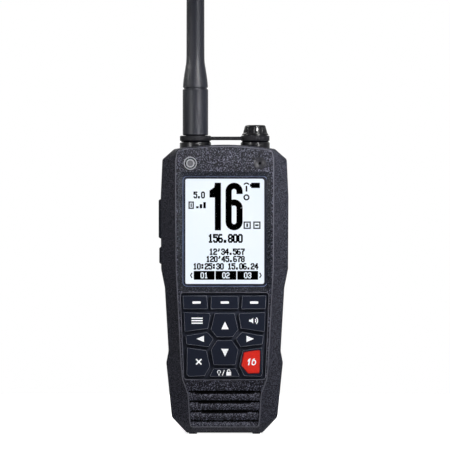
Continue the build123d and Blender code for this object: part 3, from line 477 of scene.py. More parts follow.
finishes["circuit"] = mottled("solder_mask", (0.005, 0.055, 0.024), (0.01, 0.1, 0.04), 0.0012, 0.25)
# The mesh's near-black is partly its own colour and partly painted shade in the louvres' slots; the
# same finish paints the shade at their roots and in the microphone's hole.
finishes["cloth"] = mottled(
    "mesh_wire_and_painted_shade", (0.001, 0.001, 0.001), (0.004, 0.004, 0.004), 0.0004, 0.8, 0.00005, 0.03
)
finishes["paper"] = mottled(
    "paper_cone", (0.02, 0.019, 0.018), (0.04, 0.038, 0.035), 0.0005, 0.8, 0.00004
)
finishes["patch"] = mottled("patch_ceramic", (0.55, 0.48, 0.36), (0.62, 0.55, 0.42), 0.0008, 0.5)
print("finishes:", len(finishes))

# %% [markdown]
# ## Dress the CAD nodes
#
# The imported record says which finish each node was given. A loop over that list is safer
# than a list typed here, because a node that is added later is dressed as well. Two nodes
# then get a finish of their own: the jack's cap, and the keypad's mat, whose thin webs are
# duller than the keys that they carry and painted paler, painted light in the shaded gaps.

# %% Assign the finishes
def dress(node, material):
    """Gives a CAD node its one material."""
    mesh = frame["nodes"][node].data
    mesh.materials.clear()
    mesh.materials.append(material)


nodes_to_dress = frame["record"]["subparts"]
for entry in nodes_to_dress:
    dress(entry["node"], finishes[entry["material_slot"]])
dress("jack_cap", cap_satin)
# Painted light: the mat is paler than the keys, to lift the shade in the gaps between them.
dress("keypad_mat", rubber("web_rubber_painted_light", (0.028, 0.032, 0.048), 0.5, 0.7, 0.15))
print("dressed", len(nodes_to_dress), "nodes")


# %% [markdown]
# ## Flat marks: plates cut from polygons
#
# The numerals, icons and key legends are all thin plates. They could be text objects or
# image textures, but a plate is a real shape that survives any export. Each mark is a list of
# small polygons that share their corners. The polygons make the front, and one extrusion
# turns them into a closed plate.

# %% Plates
def vertex_at(shape, x, y, z):
    """A new vertex of a shape, its place given in millimetres."""
    return shape.verts.new((x * MM, y * MM, z * MM))


def mesh_of(shape, name, smooth=False):
    """Ends a shape: turns its faces outward and makes it a mesh of that name."""
    bmesh.ops.recalc_face_normals(shape, faces=list(shape.faces))
    mesh = bpy.data.meshes.new(name)
    shape.to_mesh(mesh)
    shape.free()
    for face in mesh.polygons:
        face.use_smooth = smooth
    return mesh


def plate_mesh(name, polygons, y_front, y_back):
    """A closed plate from polygons of (x, z) corners, all in millimetres."""
    shape = bmesh.new()
    corners = {}
    for polygon in polygons:
        ring = []
        for x, z in polygon:
            key = (round(x, 4), round(z, 4))
            if key not in corners:
                corners[key] = vertex_at(shape, x, y_front, z)
            ring.append(corners[key])
        shape.faces.new(ring)
    grown = bmesh.ops.extrude_face_region(shape, geom=list(shape.faces))
    back = [item for item in grown["geom"] if isinstance(item, bmesh.types.BMVert)]
    bmesh.ops.translate(shape, verts=back, vec=(0, (y_back - y_front) * MM, 0))
    return mesh_of(shape, name)


def piece(mesh, material, body):
    """Puts a mesh into the scene, under its own name, as a piece that rides on a body."""
    mesh.materials.clear()
    mesh.materials.append(material)
    made = bpy.data.objects.new(mesh.name, mesh)
    bpy.context.collection.objects.link(made)
    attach(made, body)
    return made


# %% [markdown]
# ### Strokes, arcs and simple icons
#
# Most marks are strokes of even width along a path of straight runs and arcs. A stroke is a
# strip of four-cornered polygons: at each point of the path, half the width is set off to
# both sides, square to the direction there.

# %% Strokes and shapes
def arc(x, z, radius, start, end, steps=12):
    """Points on an arc, with its angles in degrees from +x towards +z."""
    angles = [radians(start + (end - start) * i / steps) for i in range(steps + 1)]
    return [(x + radius * cos(a), z + radius * sin(a)) for a in angles]


def circle(x, z, radius, count):
    """A ring of count points, evenly spaced."""
    return arc(x, z, radius, 0, 360 - 360 / count, count - 1)


def stroke(path, width, closed=False):
    """Polygons of a strip of even width along the path."""
    count = len(path)
    sides = []
    for i, (x, z) in enumerate(path):
        before = path[i - 1] if closed or i else path[i]
        after = path[(i + 1) % count] if closed or i < count - 1 else path[i]
        run = Vector((after[0] - before[0], after[1] - before[1])).normalized()
        across = Vector((-run.y, run.x)) * width / 2
        sides.append(((x + across.x, z + across.y), (x - across.x, z - across.y)))
    pairs = zip(sides, sides[1:] + sides[:1]) if closed else zip(sides, sides[1:])
    return [(a[0], a[1], b[1], b[0]) for a, b in pairs]


def box_mark(x, z, width, height):
    """One upright rectangle about a middle."""
    a, b = width / 2, height / 2
    return [((x - a, z - b), (x + a, z - b), (x + a, z + b), (x - a, z + b))]


def moved(polygons, x, z, lean=0.0):
    """Polygons leaned to the right and set at a place."""
    return [tuple((x + (u + lean * w), z + w) for u, w in polygon) for polygon in polygons]


def rounded_box(x_span, z_span, radius, steps=6):
    """Points round a rectangle with rounded corners."""
    (x0, x1), (z0, z1) = x_span, z_span
    middles = ((x1 - radius, z1 - radius), (x0 + radius, z1 - radius),
               (x0 + radius, z0 + radius), (x1 - radius, z0 + radius))
    path = []
    for turn, (x, z) in enumerate(middles):
        path += arc(x, z, radius, 90 * turn, 90 * turn + 90, steps)
    return path


def about(place, length):
    """The (low, high) pair of that length about a place."""
    return (place - length / 2, place + length / 2)


def round_bar(x, z, width, height, roundness=0.3):
    """A bar whose corners are rounded by a share of its height."""
    return [rounded_box(about(x, width), about(z, height), min(width, height) * roundness, 4)]


# %% [markdown]
# ## The display: a tall number
#
# The channel number fills the upper half of the display in a condensed figure about 23 mm
# tall. A font could draw it, but the two figures needed are a bar with a flag and a pair of
# arcs on a stem, which strokes describe exactly.

# %% Channel numerals
def figure_one(height, weight):
    """A condensed figure one, its foot at z 0 and the stem's middle at x 0."""
    half = weight / 2
    flag = weight * 0.85
    stem = ((-half, 0), (half, 0), (half, height), (-half, height))
    tip = ((-half, height - 2.4 * weight), (-half, height), (-half - 0.25, height - 0.75 * weight),
           (-half - flag, height - 1.25 * weight), (-half - flag, height - 2.4 * weight))
    return [stem, tip]


def figure_six(height, width, weight, opening=0):
    """A condensed figure six, its foot at z 0 and its middle at x 0.  Its tail ends at the
    opening's angle, and runs down a little where that is 0."""
    r = (width - weight) / 2
    low, high = r + weight / 2, height - r - weight / 2
    waist = height * 0.47
    tail = arc(0, high, r, opening, 180)
    if not opening:
        tail = [(r, high - 0.45 * weight)] + tail
    path = tail + arc(0, low, r, 180, 360) + [(r, waist)]
    bowl = arc(0, waist, r, 0, 125)
    return stroke(path, weight) + stroke(bowl, weight)


numeral_foot, numeral_height, numeral_weight = 98.8, 23.1, 3.0
one_x, six_x, six_width = -3.25, 4.6, 8.3
numerals = moved(figure_one(numeral_height, numeral_weight), one_x, numeral_foot)
numerals += moved(figure_six(numeral_height, six_width, numeral_weight), six_x, numeral_foot)

ink = finish("display_ink", (0.0004, 0.0004, 0.0005), 0.5, shine=0.0)
vary_roughness(ink, 0.002, 0.45, 0.6)
ink_front, ink_back = y_display - 0.12, y_display - 0.02
piece(plate_mesh("channel_numerals", numerals, ink_front, ink_back), ink, "radio")
print("numerals:", len(numerals), "polygons")

# %% [markdown]
# ## The display: small figures as picture points
#
# The smaller lines are drawn by the display's own square points, five across and seven down
# for each figure. Each figure is written here as rows of dots and hashes, which anyone can
# read and change. Placing several hundred little squares by hand is what Geometry Nodes are
# for: the script makes one loose point for each lit square, and the node tree puts a small
# block on every point, makes the copies real, and gives them their material.

# %% Figures as rows of points
FIGURES = {
    "0": ".###. #...# #...# #...# #...# #...# .###.",
    "1": "..#.. .##.. ..#.. ..#.. ..#.. ..#.. .###.",
    "2": ".###. #...# ....# ..##. .#... #.... #####",
    "3": ".###. #...# ....# ..##. ....# #...# .###.",
    "4": "...#. ..##. .#.#. #..#. ##### ...#. ...#.",
    "5": "##### #.... ####. ....# ....# #...# .###.",
    "6": ".###. #.... #.... ####. #...# #...# .###.",
    "7": "##### ....# ...#. ..#.. ..#.. ..#.. ..#..",
    "8": ".###. #...# #...# .###. #...# #...# .###.",
    ".": "..... ..... ..... ..... ..... .##.. .##..",
    ":": "..... .##.. .##.. ..... .##.. .##.. .....",
    "'": "..#.. ..#.. .#... ..... ..... ..... .....",
    " ": "..... ..... ..... ..... ..... ..... .....",
}
figure_step, figure_rows = 6, 7  # a figure's five squares with the gap after them, and its rows


def seed_mesh(name, points, edges=()):
    """A mesh of points in millimetres, loose or joined by edges, for a tree to grow from."""
    mesh = bpy.data.meshes.new(name)
    mesh.from_pydata([tuple(v * MM for v in point) for point in points], edges, [])
    return mesh


def line_points(text, x_left, z_top, cell_width, cell_height, y):
    """The middles of the lit squares of one line, in millimetres."""
    points = []
    for place, sign in enumerate(text):
        for row, squares in enumerate(FIGURES[sign].split()):
            for column, square in enumerate(squares):
                if square == "#":
                    x = x_left + (figure_step * place + column + 0.5) * cell_width
                    points.append((x, y, z_top - (row + 0.5) * cell_height))
    return points


# %% Node tree: a block on every point
def new_tree(name, sizes):
    """A Geometry Nodes tree whose inputs are a geometry, named sizes and a material.  Gives
    the tree and the outputs of its input node."""
    tree = bpy.data.node_groups.new(name, "GeometryNodeTree")

    def socket(label, kind, way="INPUT"):
        kind = f"NodeSocket{kind}"
        return tree.interface.new_socket(name=label, in_out=way, socket_type=kind)

    socket("Geometry", "Geometry")
    for label, value in sizes.items():
        socket(label, "Int" if isinstance(value, int) else "Float").default_value = value
    socket("Material", "Material")
    socket("Geometry", "Geometry", "OUTPUT")
    return tree, tree.nodes.new("NodeGroupInput").outputs


def end_tree(tree, given, output):
    """Ends a tree: the copies made real, then the material."""
    real = add(tree, "GeometryNodeRealizeInstances", output)
    painted = add(tree, "GeometryNodeSetMaterial", real, Material=given["Material"])
    add(tree, "NodeGroupOutput", painted)


def grow(tree, seed, material, sizes):
    """Runs a tree on a seed mesh and returns its result as a plain mesh of the same name."""
    name = seed.name
    carrier = bpy.data.objects.new(name, seed)
    bpy.context.collection.objects.link(carrier)
    modifier = carrier.modifiers.new("grow", "NODES")
    modifier.node_group = tree
    given = {**sizes, "Material": material}
    for socket in tree.interface.items_tree:
        if socket.in_out == "INPUT" and socket.name in given:
            modifier[socket.identifier] = given[socket.name]
    grown = carrier.evaluated_get(bpy.context.evaluated_depsgraph_get())
    mesh = bpy.data.meshes.new_from_object(grown)
    bpy.data.objects.remove(carrier)
    bpy.data.meshes.remove(seed)
    mesh.name = name
    return mesh


sizes = {"Width": 0.0003, "Depth": 0.0001, "Height": 0.0004}
block_tree, given = new_tree("block_on_each_point", sizes)
size = add(block_tree, "ShaderNodeCombineXYZ", given["Width"], given["Depth"], given["Height"])
block = add(block_tree, "GeometryNodeMeshCube", size)
copies = add(block_tree, "GeometryNodeInstanceOnPoints", given["Geometry"], Instance=block)
end_tree(block_tree, given, copies)
print("tree sockets:", [socket.name for socket in block_tree.interface.items_tree])


# %% The lines of figures
def write_line(name, text, x_left, z_top, width, height, paint, y_middle, across=2.2, up=1.6):
    """A line of figures that fills a width and height, as a piece on the radio.  Its blocks
    are wider and taller than a square by across and up."""
    cell_width = width / (figure_step * len(text) - 1)
    cell_height = height / figure_rows
    seed = seed_mesh(name, line_points(text, x_left, z_top, cell_width, cell_height, y_middle))
    sizes = {"Width": cell_width * across * MM, "Depth": (ink_back - ink_front) * MM,
             "Height": cell_height * up * MM}
    return piece(grow(block_tree, seed, paint, sizes), paint, "radio")


ink_middle = (ink_front + ink_back) / 2
for name, text, x_left, z_top, width, height in (
    ("power", "5.0", -14.9, 117.5, 5.2, 3.1),
    ("frequency", "156.800", -7.8, 96.9, 16.4, 4.0),
    ("latitude", "12'34.567", -7.3, 89.9, 16.9, 2.9),
    ("longitude", "120'45.678", -8.8, 86.3, 18.4, 2.8),
    ("clock", "10:25:30 15.06.24", -15.1, 82.8, 31.3, 2.9),
):
    write_line(f"{name}_figures", text, x_left, z_top, width, height, ink, ink_middle)
print("lines of figures made")

# %% [markdown]
# ## The display: icons and the three soft-key tabs
#
# Round the number stand a battery, signal bars, small boxed signs and, along the foot, three
# dark tabs that name the soft keys below them, here with plain numbers in the display's
# light colour.

# %% Display icons
marks = box_mark(15.0, 120.6, 4.2, 2.6) + box_mark(12.6, 120.6, 0.65, 1.3)
for step in range(3):
    marks += box_mark(-13.2 + 1.75 * step, 109.5 + 0.5 * (step + 1), 1.2, 1.0 * (step + 1))
marks += box_mark(10.6, 119.0, 0.8, 2.8) + stroke(arc(10.6, 120.4, 1.3, 25, 155, 6), 0.65)
marks += stroke(circle(10.6, 114.8, 1.15, 24), 0.7, closed=True)


def frame_mark(x, z, width, height, weight):
    """A rectangle's outline."""
    a, b = (width - weight) / 2, (height - weight) / 2
    return (box_mark(x, z + b, width, weight) + box_mark(x, z - b, width, weight)
            + box_mark(x - a, z, weight, height - 2 * weight - 0.01)
            + box_mark(x + a, z, weight, height - 2 * weight - 0.01))


marks += frame_mark(-16.2, 111.0, 2.6, 3.6, 0.6) + box_mark(-16.2, 111.0, 0.6, 1.8)
marks += frame_mark(10.95, 101.3, 3.5, 3.6, 0.6) + frame_mark(15.65, 101.3, 3.5, 3.6, 0.6)
marks += box_mark(10.95, 101.3, 0.8, 1.7) + box_mark(15.65, 101.3, 1.6, 0.8)
piece(plate_mesh("display_icons", marks, ink_front, ink_back), ink, "radio")

tab_middles = (-9.9, 0.65, 11.2)
tabs = []
for x in tab_middles:
    tabs += round_bar(x, 77.0, 10.1, 4.3, 0.08)
tabs += stroke([(-15.8, 78.2), (-16.5, 77.0), (-15.8, 75.8)], 0.6)
tabs += stroke([(17.0, 78.2), (17.7, 77.0), (17.0, 75.8)], 0.6)
piece(plate_mesh("soft_key_tabs", tabs, ink_front, ink_back), ink, "radio")
tab_front = ink_middle - 0.11
for number, x in enumerate(tab_middles, 1):
    write_line(f"tab_figures_{number}", f"0{number}", x - 1.7, 78.4, 3.4, 2.8, lit, tab_front,
               across=1.5, up=1.2)
print("icons:", len(marks), "polygons")

# %% [markdown]
# ## The printed marks on the keys
#
# Key marks are screen-printed in white and must stay on their own key when it is pressed, so
# each mark is a piece of its own that rides on that key's body. They stand a few hundredths
# of a millimetre proud, as a real print does, which also keeps the two surfaces apart. Their
# white also glows a little, which is painted light.

# %% Key legends
# Painted light: the white print has a faint glow of its own.
white_print_painted_glow = finish("printed_white_painted_glow", (0.86, 0.88, 0.9), 0.45, Emission_Strength=0.3,
                     Emission_Color=(1, 1, 1, 1))
vary_colour(white_print_painted_glow, 0.0004, 0.25, 0.6, (0.7, 0.72, 0.75), (0.9, 0.91, 0.93))
print_rise, print_root = 0.03, 0.01


def printed(name, polygons, face, paint, body, rise=print_rise):
    """A print that stands a little proud of a face and is rooted in it, as a piece."""
    mesh = plate_mesh(name, polygons, face - rise, face + print_root)
    return piece(mesh, paint, body)


def legend(key, polygons, face=y_key_top):
    """A white printed mark that rides on a key's body."""
    return printed(f"legend_{key}", polygons, face, white_print_painted_glow, f"{key}_body")


def triangle(x, z, length, half_width, turn):
    """An arrow head about (x, z) that points along turn, in degrees from +x."""
    tip = [(length / 2, 0), (-length / 2, half_width), (-length / 2, -half_width)]
    c, s = cos(radians(turn)), sin(radians(turn))
    return [tuple((x + u * c - w * s, z + u * s + w * c) for u, w in tip)]


def speaker_mark(x, z):
    """A loudspeaker with two waves."""
    horn = [((x - 2.1, z - 0.5), (x - 1.3, z - 0.5), (x - 0.2, z - 1.3), (x - 0.2, z + 1.3),
             (x - 1.3, z + 0.5), (x - 2.1, z + 0.5))]
    for radius in (1.0, 1.9):
        horn += stroke(arc(x + 0.1, z, radius, -50, 50, 8), 0.4)
    return horn


def lamp_and_lock(x, z):
    """A bulb, a slash and a padlock."""
    bulb = stroke(arc(x - 3.2, z + 0.4, 0.75, -60, 240, 12), 0.32)
    bulb += box_mark(x - 3.2, z - 0.75, 0.8, 0.35) + box_mark(x - 3.2, z - 1.25, 0.5, 0.25)
    slash = stroke([(x - 1.6, z - 1.3), (x - 0.6, z + 1.3)], 0.35)
    lock = box_mark(x + 1.5, z - 0.5, 2.3, 1.7)
    shackle = [(x + 0.85, z + 0.3)] + arc(x + 1.5, z + 0.8, 0.65, 180, 0, 8) + [(x + 2.15, z + 0.3)]
    return bulb + slash + lock + stroke(shackle, 0.36)


for key, x in (("left_soft", -13.6), ("middle_soft", 0.1), ("right_soft", 14.3)):
    legend(key, round_bar(x, 63.9, 4.0, 1.15))
legend("menu", [bar for z in (56.3, 55.1, 53.9) for bar in box_mark(-13.3, z, 5.4, 0.6)])
legend("volume", speaker_mark(14.0, 55.1))
for key, x, z, length, half_width, turn in (
    ("up", 0.2, 52.8, 3.7, 1.75, 90), ("down", 0.2, 39.6, 3.7, 1.75, -90),
    ("left", -11.8, 46.3, 3.6, 1.5, 180), ("right", 12.4, 46.3, 3.6, 1.5, 0),
):
    legend(key, triangle(x, z, length, half_width, turn))
cross = stroke([(-13.8, 33.9), (-11.2, 36.5)], 0.65) + stroke([(-13.8, 36.5), (-11.2, 33.9)], 0.65)
legend("clear", cross)
legend("lamp_lock", lamp_and_lock(0.5, 29.9))

sixteen = moved(figure_one(3.3, 0.62), 11.6, 33.5, lean=0.2)
sixteen += moved(figure_six(3.3, 2.1, 0.52, opening=85), 13.9, 33.5, lean=0.2)
legend("channel_16", sixteen, edges_of("channel_16_cap")[1][0])
print("keys marked; print stands", print_rise, "mm proud")

# %% [markdown]
# ## Rings of the power button, and the display's frame
#
# The power button is marked by pale rings: one printed on the raised ring of the housing,
# one round a shallow dish on the button itself. Behind the microphone's small hole lies a
# near-black cloth that keeps spray out, and its near-black also paints the hole's shade. The
# window's edge is printed too, in dark blue with a paler line, which hides the display's frame
# and gasket behind it. A print in a frame's shape is a thin ring between two rounded rectangles.

# %% Power rings
button = edges_of("power_button")
button_x, button_z = middle(button[0]), middle(button[2])
button_front = button[1][0]
ring_front = y_face - 0.15
ring_radius, ring_width = 2.95, 0.42
mark_radius, mark_width = 1.68, 0.55
paint_grey = finish("printed_grey", (0.3, 0.31, 0.33), 0.45)
vary_colour(paint_grey, 0.0004, 0.3, 0.65, (0.22, 0.23, 0.25), (0.36, 0.37, 0.39))
ring = stroke(circle(button_x, button_z, ring_radius, 48), ring_width, closed=True)
printed("power_ring", ring, ring_front, paint_grey, "radio")
mark = stroke(circle(button_x, button_z, mark_radius, 36), mark_width, closed=True)
printed("power_mark", mark, button_front, paint_grey, "power_body")
print("power button at", round(button_x, 2), round(button_z, 2))

# %% Dish in the button, and the microphone's cloth
paint_dish = finish("dish_grey", (0.08, 0.08, 0.09), 0.5, shine=0.2)
vary_colour(paint_dish, 0.0005, 0.3, 0.65, (0.06, 0.06, 0.068), (0.1, 0.1, 0.115))
power_dish_radius = 1.38
power_dish = circle(button_x, button_z, power_dish_radius, 24)
printed("power_dish", [power_dish], button_front, paint_dish, "power_body", rise=0.02)

microphone = edges_of("microphone")
microphone_x, microphone_z = middle(microphone[0]), middle(microphone[2])
cloth_radius, cloth_front, cloth_thickness = 0.56, microphone[1][0] - 0.5, 0.15
# Painted shade, in part: the cloth's near-black darkens the microphone's hole.
cloth = plate_mesh("microphone_cloth", [circle(microphone_x, microphone_z, cloth_radius, 18)],
                   cloth_front, cloth_front + cloth_thickness)
piece(cloth, finishes["cloth"], "radio")
print("microphone at", round(microphone_x, 2), round(microphone_z, 2))


# %% Frame round the display
def grow_span(span, amount):
    """A (low, high) pair widened at both ends."""
    return (span[0] - amount, span[1] + amount)


def skin(shape, rows, closed=True):
    """Faces from each row of vertices to the next, and from the last to the first if closed."""
    for row, after in zip(rows, rows[1:] + rows[:1] if closed else rows[1:]):
        for i in range(len(row)):
            k = (i + 1) % len(row)
            shape.faces.new((row[i], row[k], after[k], after[i]))


def ring_skin(name, rings, thickness, smooth=False):
    """A closed skin over (outline, depth) rings with as many points each."""
    loops = rings + [(path, y + thickness) for path, y in reversed(rings)]
    shape = bmesh.new()
    rows = [[vertex_at(shape, x, y, z) for x, z in path] for path, y in loops]
    skin(shape, rows)
    return mesh_of(shape, name, smooth)


def flat_frame(name, x_span, z_span, radius, y, thickness, outer, inner):
    """A flat ring between two rounded rectangles, which lie outer and inner past the spans."""
    rings = [
        (rounded_box(grow_span(x_span, past), grow_span(z_span, past), radius + past), y)
        for past in (outer, inner)
    ]
    return ring_skin(name, rings, thickness)


window_x, window_y, window_z = edges_of("display_window")
window_front = window_y[0]
print_front, print_thickness = window_front - print_rise, 0.02
view_x, view_z, view_radius = (-19.0, 19.35), (72.9, 123.8), 0.7
for name, colour, outer, inner in (("window_border", (0.001, 0.002, 0.009), 1.0, 0.0),
                                   ("window_line", (0.13, 0.17, 0.3), 1.28, 1.02)):
    navy = finish(name, colour, 0.3, shine=0.2)
    vary_roughness(navy, 0.002, 0.25, 0.4)
    mesh = flat_frame(name, view_x, view_z, view_radius, print_front, print_thickness,
                      outer, inner)
    piece(mesh, navy, "radio")
print(f"print on the window at y {print_front:.2f}")

# %% [markdown]
# ### Skins: the window's slope and the microphone's dish
#
# Both are part of the moulded housing, but their own finish differs from the face's: the
# slope has a finer, darker grain with a blue tint, painted light from the display on the
# slope, and the dish is smooth and darker than the face, painted shade in its hollow. A
# material could be split by its place, as on the louvres, but the border would then be ragged.
# A skin a few hundredths of a millimetre thick follows the same form and ends in a clean line.

# %% The slope round the window
# Painted light: the slope's blue tint stands in for the display's light falling on it.
bezel = grained("bezel_plastic_painted_blue_light", (0.003, 0.004, 0.008), (0.07, 0.078, 0.105), 0.00045, 0.3, 0.0002)
slope_run, skin_rise, skin_thickness = 2.2, 0.02, 0.04
rim = rounded_box(grow_span(window_x, slope_run), grow_span(window_z, slope_run), 2.5)
foot = rounded_box(grow_span(window_x, skin_rise), grow_span(window_z, skin_rise), 1.2)
slope_rings = [(rim, y_face - skin_rise), (foot, window_front - skin_rise)]
piece(ring_skin("bezel_skin", slope_rings, skin_thickness), bezel, "radio")
print("slope skinned:", len(rim), "faces round")

# %% The microphone's dish, smooth, and darkened as painted shade
ball_radius, ball_depth, dish_rise, dish_thickness = 5.0, 0.9, 0.03, 0.02
dish_radii = (2.84, 2.6, 2.2, 1.7, 1.2, 0.66)
dish_rings = []
for radius in dish_radii:
    y = y_face + ball_depth - ball_radius + (ball_radius**2 - radius**2) ** 0.5 - dish_rise
    dish_rings.append((circle(microphone_x, microphone_z, radius, 36), y))
# Painted shade: the dish is much darker than the face around it, for the shade in its hollow.
smooth_dish_painted_shade = finish("smooth_plastic_painted_shade", (0.006, 0.006, 0.009), 0.46, shine=0.24)
vary_colour(smooth_dish_painted_shade, 0.0005, 0.3, 0.7, (0.003, 0.003, 0.005), (0.012, 0.012, 0.018))
dish = ring_skin("microphone_dish", dish_rings, dish_thickness, smooth=True)
piece(dish, smooth_dish_painted_shade, "radio")
print("dish", ball_depth, "mm deep and", 2 * dish_radii[0], "mm wide")

# %% [markdown]
# ### Edges with a painted highlight
#
# Each edge gets a small rounded lip that catches the lamp on the side that faces it, and the
# lip is coloured far paler than the surface around it, a painted highlight, so it draws a thin
# bright line. That line tells the eye where the panel ends and where one key stops. Its path
# needn't be drawn again: it is the border of a flat face that the frame already has, so it is
# found in the mesh. A small rounded section is then swept along it, always turned outward,
# which a plain round wire couldn't do: it would shine on both sides.

# %% Borders of flat faces
def len_across(loop):
    """The width plus height of a loop."""
    return sum(max(p[i] for p in loop) - min(p[i] for p in loop) for i in (0, 2))


def borders(node, y_plane, ahead=-1, slack=0.02):
    """Closed loops of points, in millimetres, round the flat faces at a depth that look
    ahead: -1 for the front, 1 for the back."""
    shape = bmesh.new()
    shape.from_mesh(frame["nodes"][node].data)
    bmesh.ops.transform(shape, matrix=frame["nodes"][node].matrix_world, verts=shape.verts)
    bmesh.ops.remove_doubles(shape, verts=shape.verts, dist=0.00002)
    flat = {
        face for face in shape.faces
        if all(abs(v.co.y / MM - y_plane) < slack for v in face.verts)
        and face.normal.y * ahead > 0.9
    }
    links = {}
    for edge in shape.edges:
        if sum(face in flat for face in edge.link_faces) == 1:
            a, b = edge.verts
            links.setdefault(a, []).append(b)
            links.setdefault(b, []).append(a)
    loops = []
    while links:
        here = next(iter(links))
        loop = []
        while links.get(here):
            loop.append(tuple(here.co / MM))
            after = links[here].pop()
            links[after].remove(here)
            here = after
        loops.append(loop)
        links = {v: ends for v, ends in links.items() if ends}
    shape.free()
    return sorted(loops, key=len_across, reverse=True)


# %% Lips swept along borders
sharpest_mitre = 0.7


def lip(name, loop, section, material, body, inward=False, ahead=-1):
    """Sweeps a section of (outward, depth) points round a flat loop that looks ahead.  At a
    corner the section is drawn out, up to the sharpest mitre."""
    count = len(loop)
    area = sum(loop[i - 1][0] * loop[i][2] - loop[i][0] * loop[i - 1][2] for i in range(count))
    sign = (1 if area > 0 else -1) * (-1 if inward else 1)
    shape = bmesh.new()
    rows = []
    for i, (x, y, z) in enumerate(loop):
        before, after = loop[i - 1], loop[(i + 1) % count]
        first = Vector((x - before[0], z - before[2])).normalized()
        second = Vector((after[0] - x, after[2] - z)).normalized()
        along = (first + second).normalized()
        out = Vector((along.y, -along.x)) * sign / max(along.dot(first), sharpest_mitre)
        rows.append([
            vertex_at(shape, x + out.x * u, y - v * ahead, z + out.y * u) for u, v in section
        ])
    skin(shape, rows)
    return piece(mesh_of(shape, name, smooth=True), material, body)


# Painted highlight: the lips' colour is far paler than the plastic, to draw bright lines.
edge_highlight_satin = finish("painted_edge_highlight", (0.125, 0.127, 0.155), 0.3, shine=0.1)
vary_roughness(edge_highlight_satin, 0.0006, 0.22, 0.45)
over_bevel = [(-0.22, 0.0), (-0.1, -0.1), (0.08, -0.08), (0.28, 0.22), (0.0, 0.2)]
over_wall = [(-0.3, -0.01), (-0.12, -0.07), (0.05, 0.03), (0.07, 0.3), (-0.1, 0.2)]
into_dish = [(-0.04, 0.0), (-0.02, -0.05), (0.45, 0.19), (0.45, 0.4), (0.0, 0.2)]
over_key = [(-0.05, 0.0), (0.0, -0.03), (0.28, 0.36), (0.0, 0.2)]

# %% Lips of the front: the panel, the keypad's opening and the dish
panel_border, _, keypad_border = borders("front_housing", y_face)[:3]
notch_height, notch_half_width = 2.5, 16.5
notch_top = min(p[2] for p in panel_border) + notch_height
count = len(panel_border)
notch = [i for i, p in enumerate(panel_border) if p[2] < notch_top and abs(p[0]) < notch_half_width]
after_notch = next(i for i in notch if (i + 1) % count not in notch) + 1
crease = [panel_border[(after_notch + i) % count] for i in range(count - len(notch))]
last_x, first_x = crease[-1][0], crease[0][0]
sill_z = 3.7
sill_steps = [(0.985, 0.1, 0.6), (0.955, 0.2, 0.15), (0.91, 0.27, 0.0)]
sill = [(last_x * share, y_face + sunk, sill_z + up) for share, sunk, up in sill_steps]
sill += [(first_x * share, y_face + sunk, sill_z + up) for share, sunk, up in reversed(sill_steps)]
lip("panel_lip", crease + sill, over_bevel, edge_highlight_satin, "radio")
lip("keypad_lip", keypad_border, over_wall, edge_highlight_satin, "radio", inward=True)
rim_radius = 2.9
dish_edge = [(x, y_face, z) for x, z in circle(microphone_x, microphone_z, rim_radius, 36)]
# The dish's lip shares the dish's painted shade.
lip("dish_lip", dish_edge, into_dish, smooth_dish_painted_shade, "radio", inward=True)
print("notch of", len(notch), "points closed by a sill; crease ends at", round(last_x, 2))

# %% Lips of the keys
# Painted highlight: the key lips are far paler than the key rubber, to draw bright outlines.
key_lip_highlight_satin = finish("painted_key_edge_highlight", (0.24, 0.25, 0.29), 0.32, shine=0.1)
vary_roughness(key_lip_highlight_satin, 0.0006, 0.26, 0.44)
key_bodies = {f"soft_key_{side}": f"{side}_soft" for side in ("left", "middle", "right")}
for key in ("menu", "volume", "up", "left", "right", "down", "clear", "channel_16", "lamp_lock"):
    key_bodies[f"{key}_key"] = key
for node, key in key_bodies.items():
    border = borders(node, y_key_top)[0]
    lip(f"{node}_lip", border, over_key, key_lip_highlight_satin, f"{key}_body")
print("lips round", len(key_bodies), "keys")

# %% [markdown]
# ### Painted shade at the roots of the louvres
#
# At the bottom of each groove the grille opens into the dark, and the root of the groove is
# painted black as painted shade. Darkening it by its depth alone would darken the foot of the
# slope too. So each root is a strip of its own, sheared so that it lies along the slope that
# it ends.

# %% Painted shade at the roots of the louvres
louvre_top, louvre_pitch, louvre_half_width, louvre_depth = 21.3, 4.7, 17.3, 1.3
slot_height, slope_height = 1.1, 3.0
slot_half_widths = [14.5, 12.8, 11.1, 0.0]
taper, wall_gap, slot_gap = 0.35, 0.05, 0.04
side_band, side_middle = 0.7, 0.66
slot_band, slot_middle = 0.56, slot_height + 0.3
roots = []
for i, slot_half in enumerate(slot_half_widths):
    top = louvre_top - i * louvre_pitch
    groove_half = louvre_half_width - taper * i - wall_gap
    width = groove_half - slot_half - slot_gap
    for side in (-1, 1):
        roots += box_mark(side * (groove_half - width / 2), top - side_middle, width, side_band)
    if slot_half:
        roots += box_mark(0, top - slot_middle, 2 * slot_half, slot_band)
root_y, root_rise, root_sink = y_face + louvre_depth, 0.04, 0.02
# Painted shade: near-black strips darken the roots of the grooves.
mesh = plate_mesh("louvre_root_painted_shade", roots, root_y - root_rise, root_y + root_sink)
for vertex in mesh.vertices:
    below_top = (louvre_top - vertex.co.z / MM) % louvre_pitch
    up_slope = max(0.0, below_top - slot_height)
    vertex.co.y -= up_slope * louvre_depth / slope_height * MM
piece(mesh, finishes["cloth"], "radio")
print(len(roots), "roots", louvre_depth, "mm deep")

# %% [markdown]
# ### The back: edges, the pack's seal and the coin slot
#
# The same pale edge, a painted highlight, runs round the rear housing, the battery case and
# the clip, in a smaller section because these edges lie close together. The pack's seal is a
# flat ring of rubber that closes on the housing. The bottom of the coin slot gets a dark
# mottled plate, painted shade in the slot.

# %% Lips at the back, and the pack's seal
y_back = edges_of("rear_housing")[1][1]
y_clip = edges_of("belt_clip")[1][1]
back_scale = 0.7
over_back = [(u * back_scale, v * back_scale) for u, v in over_bevel]
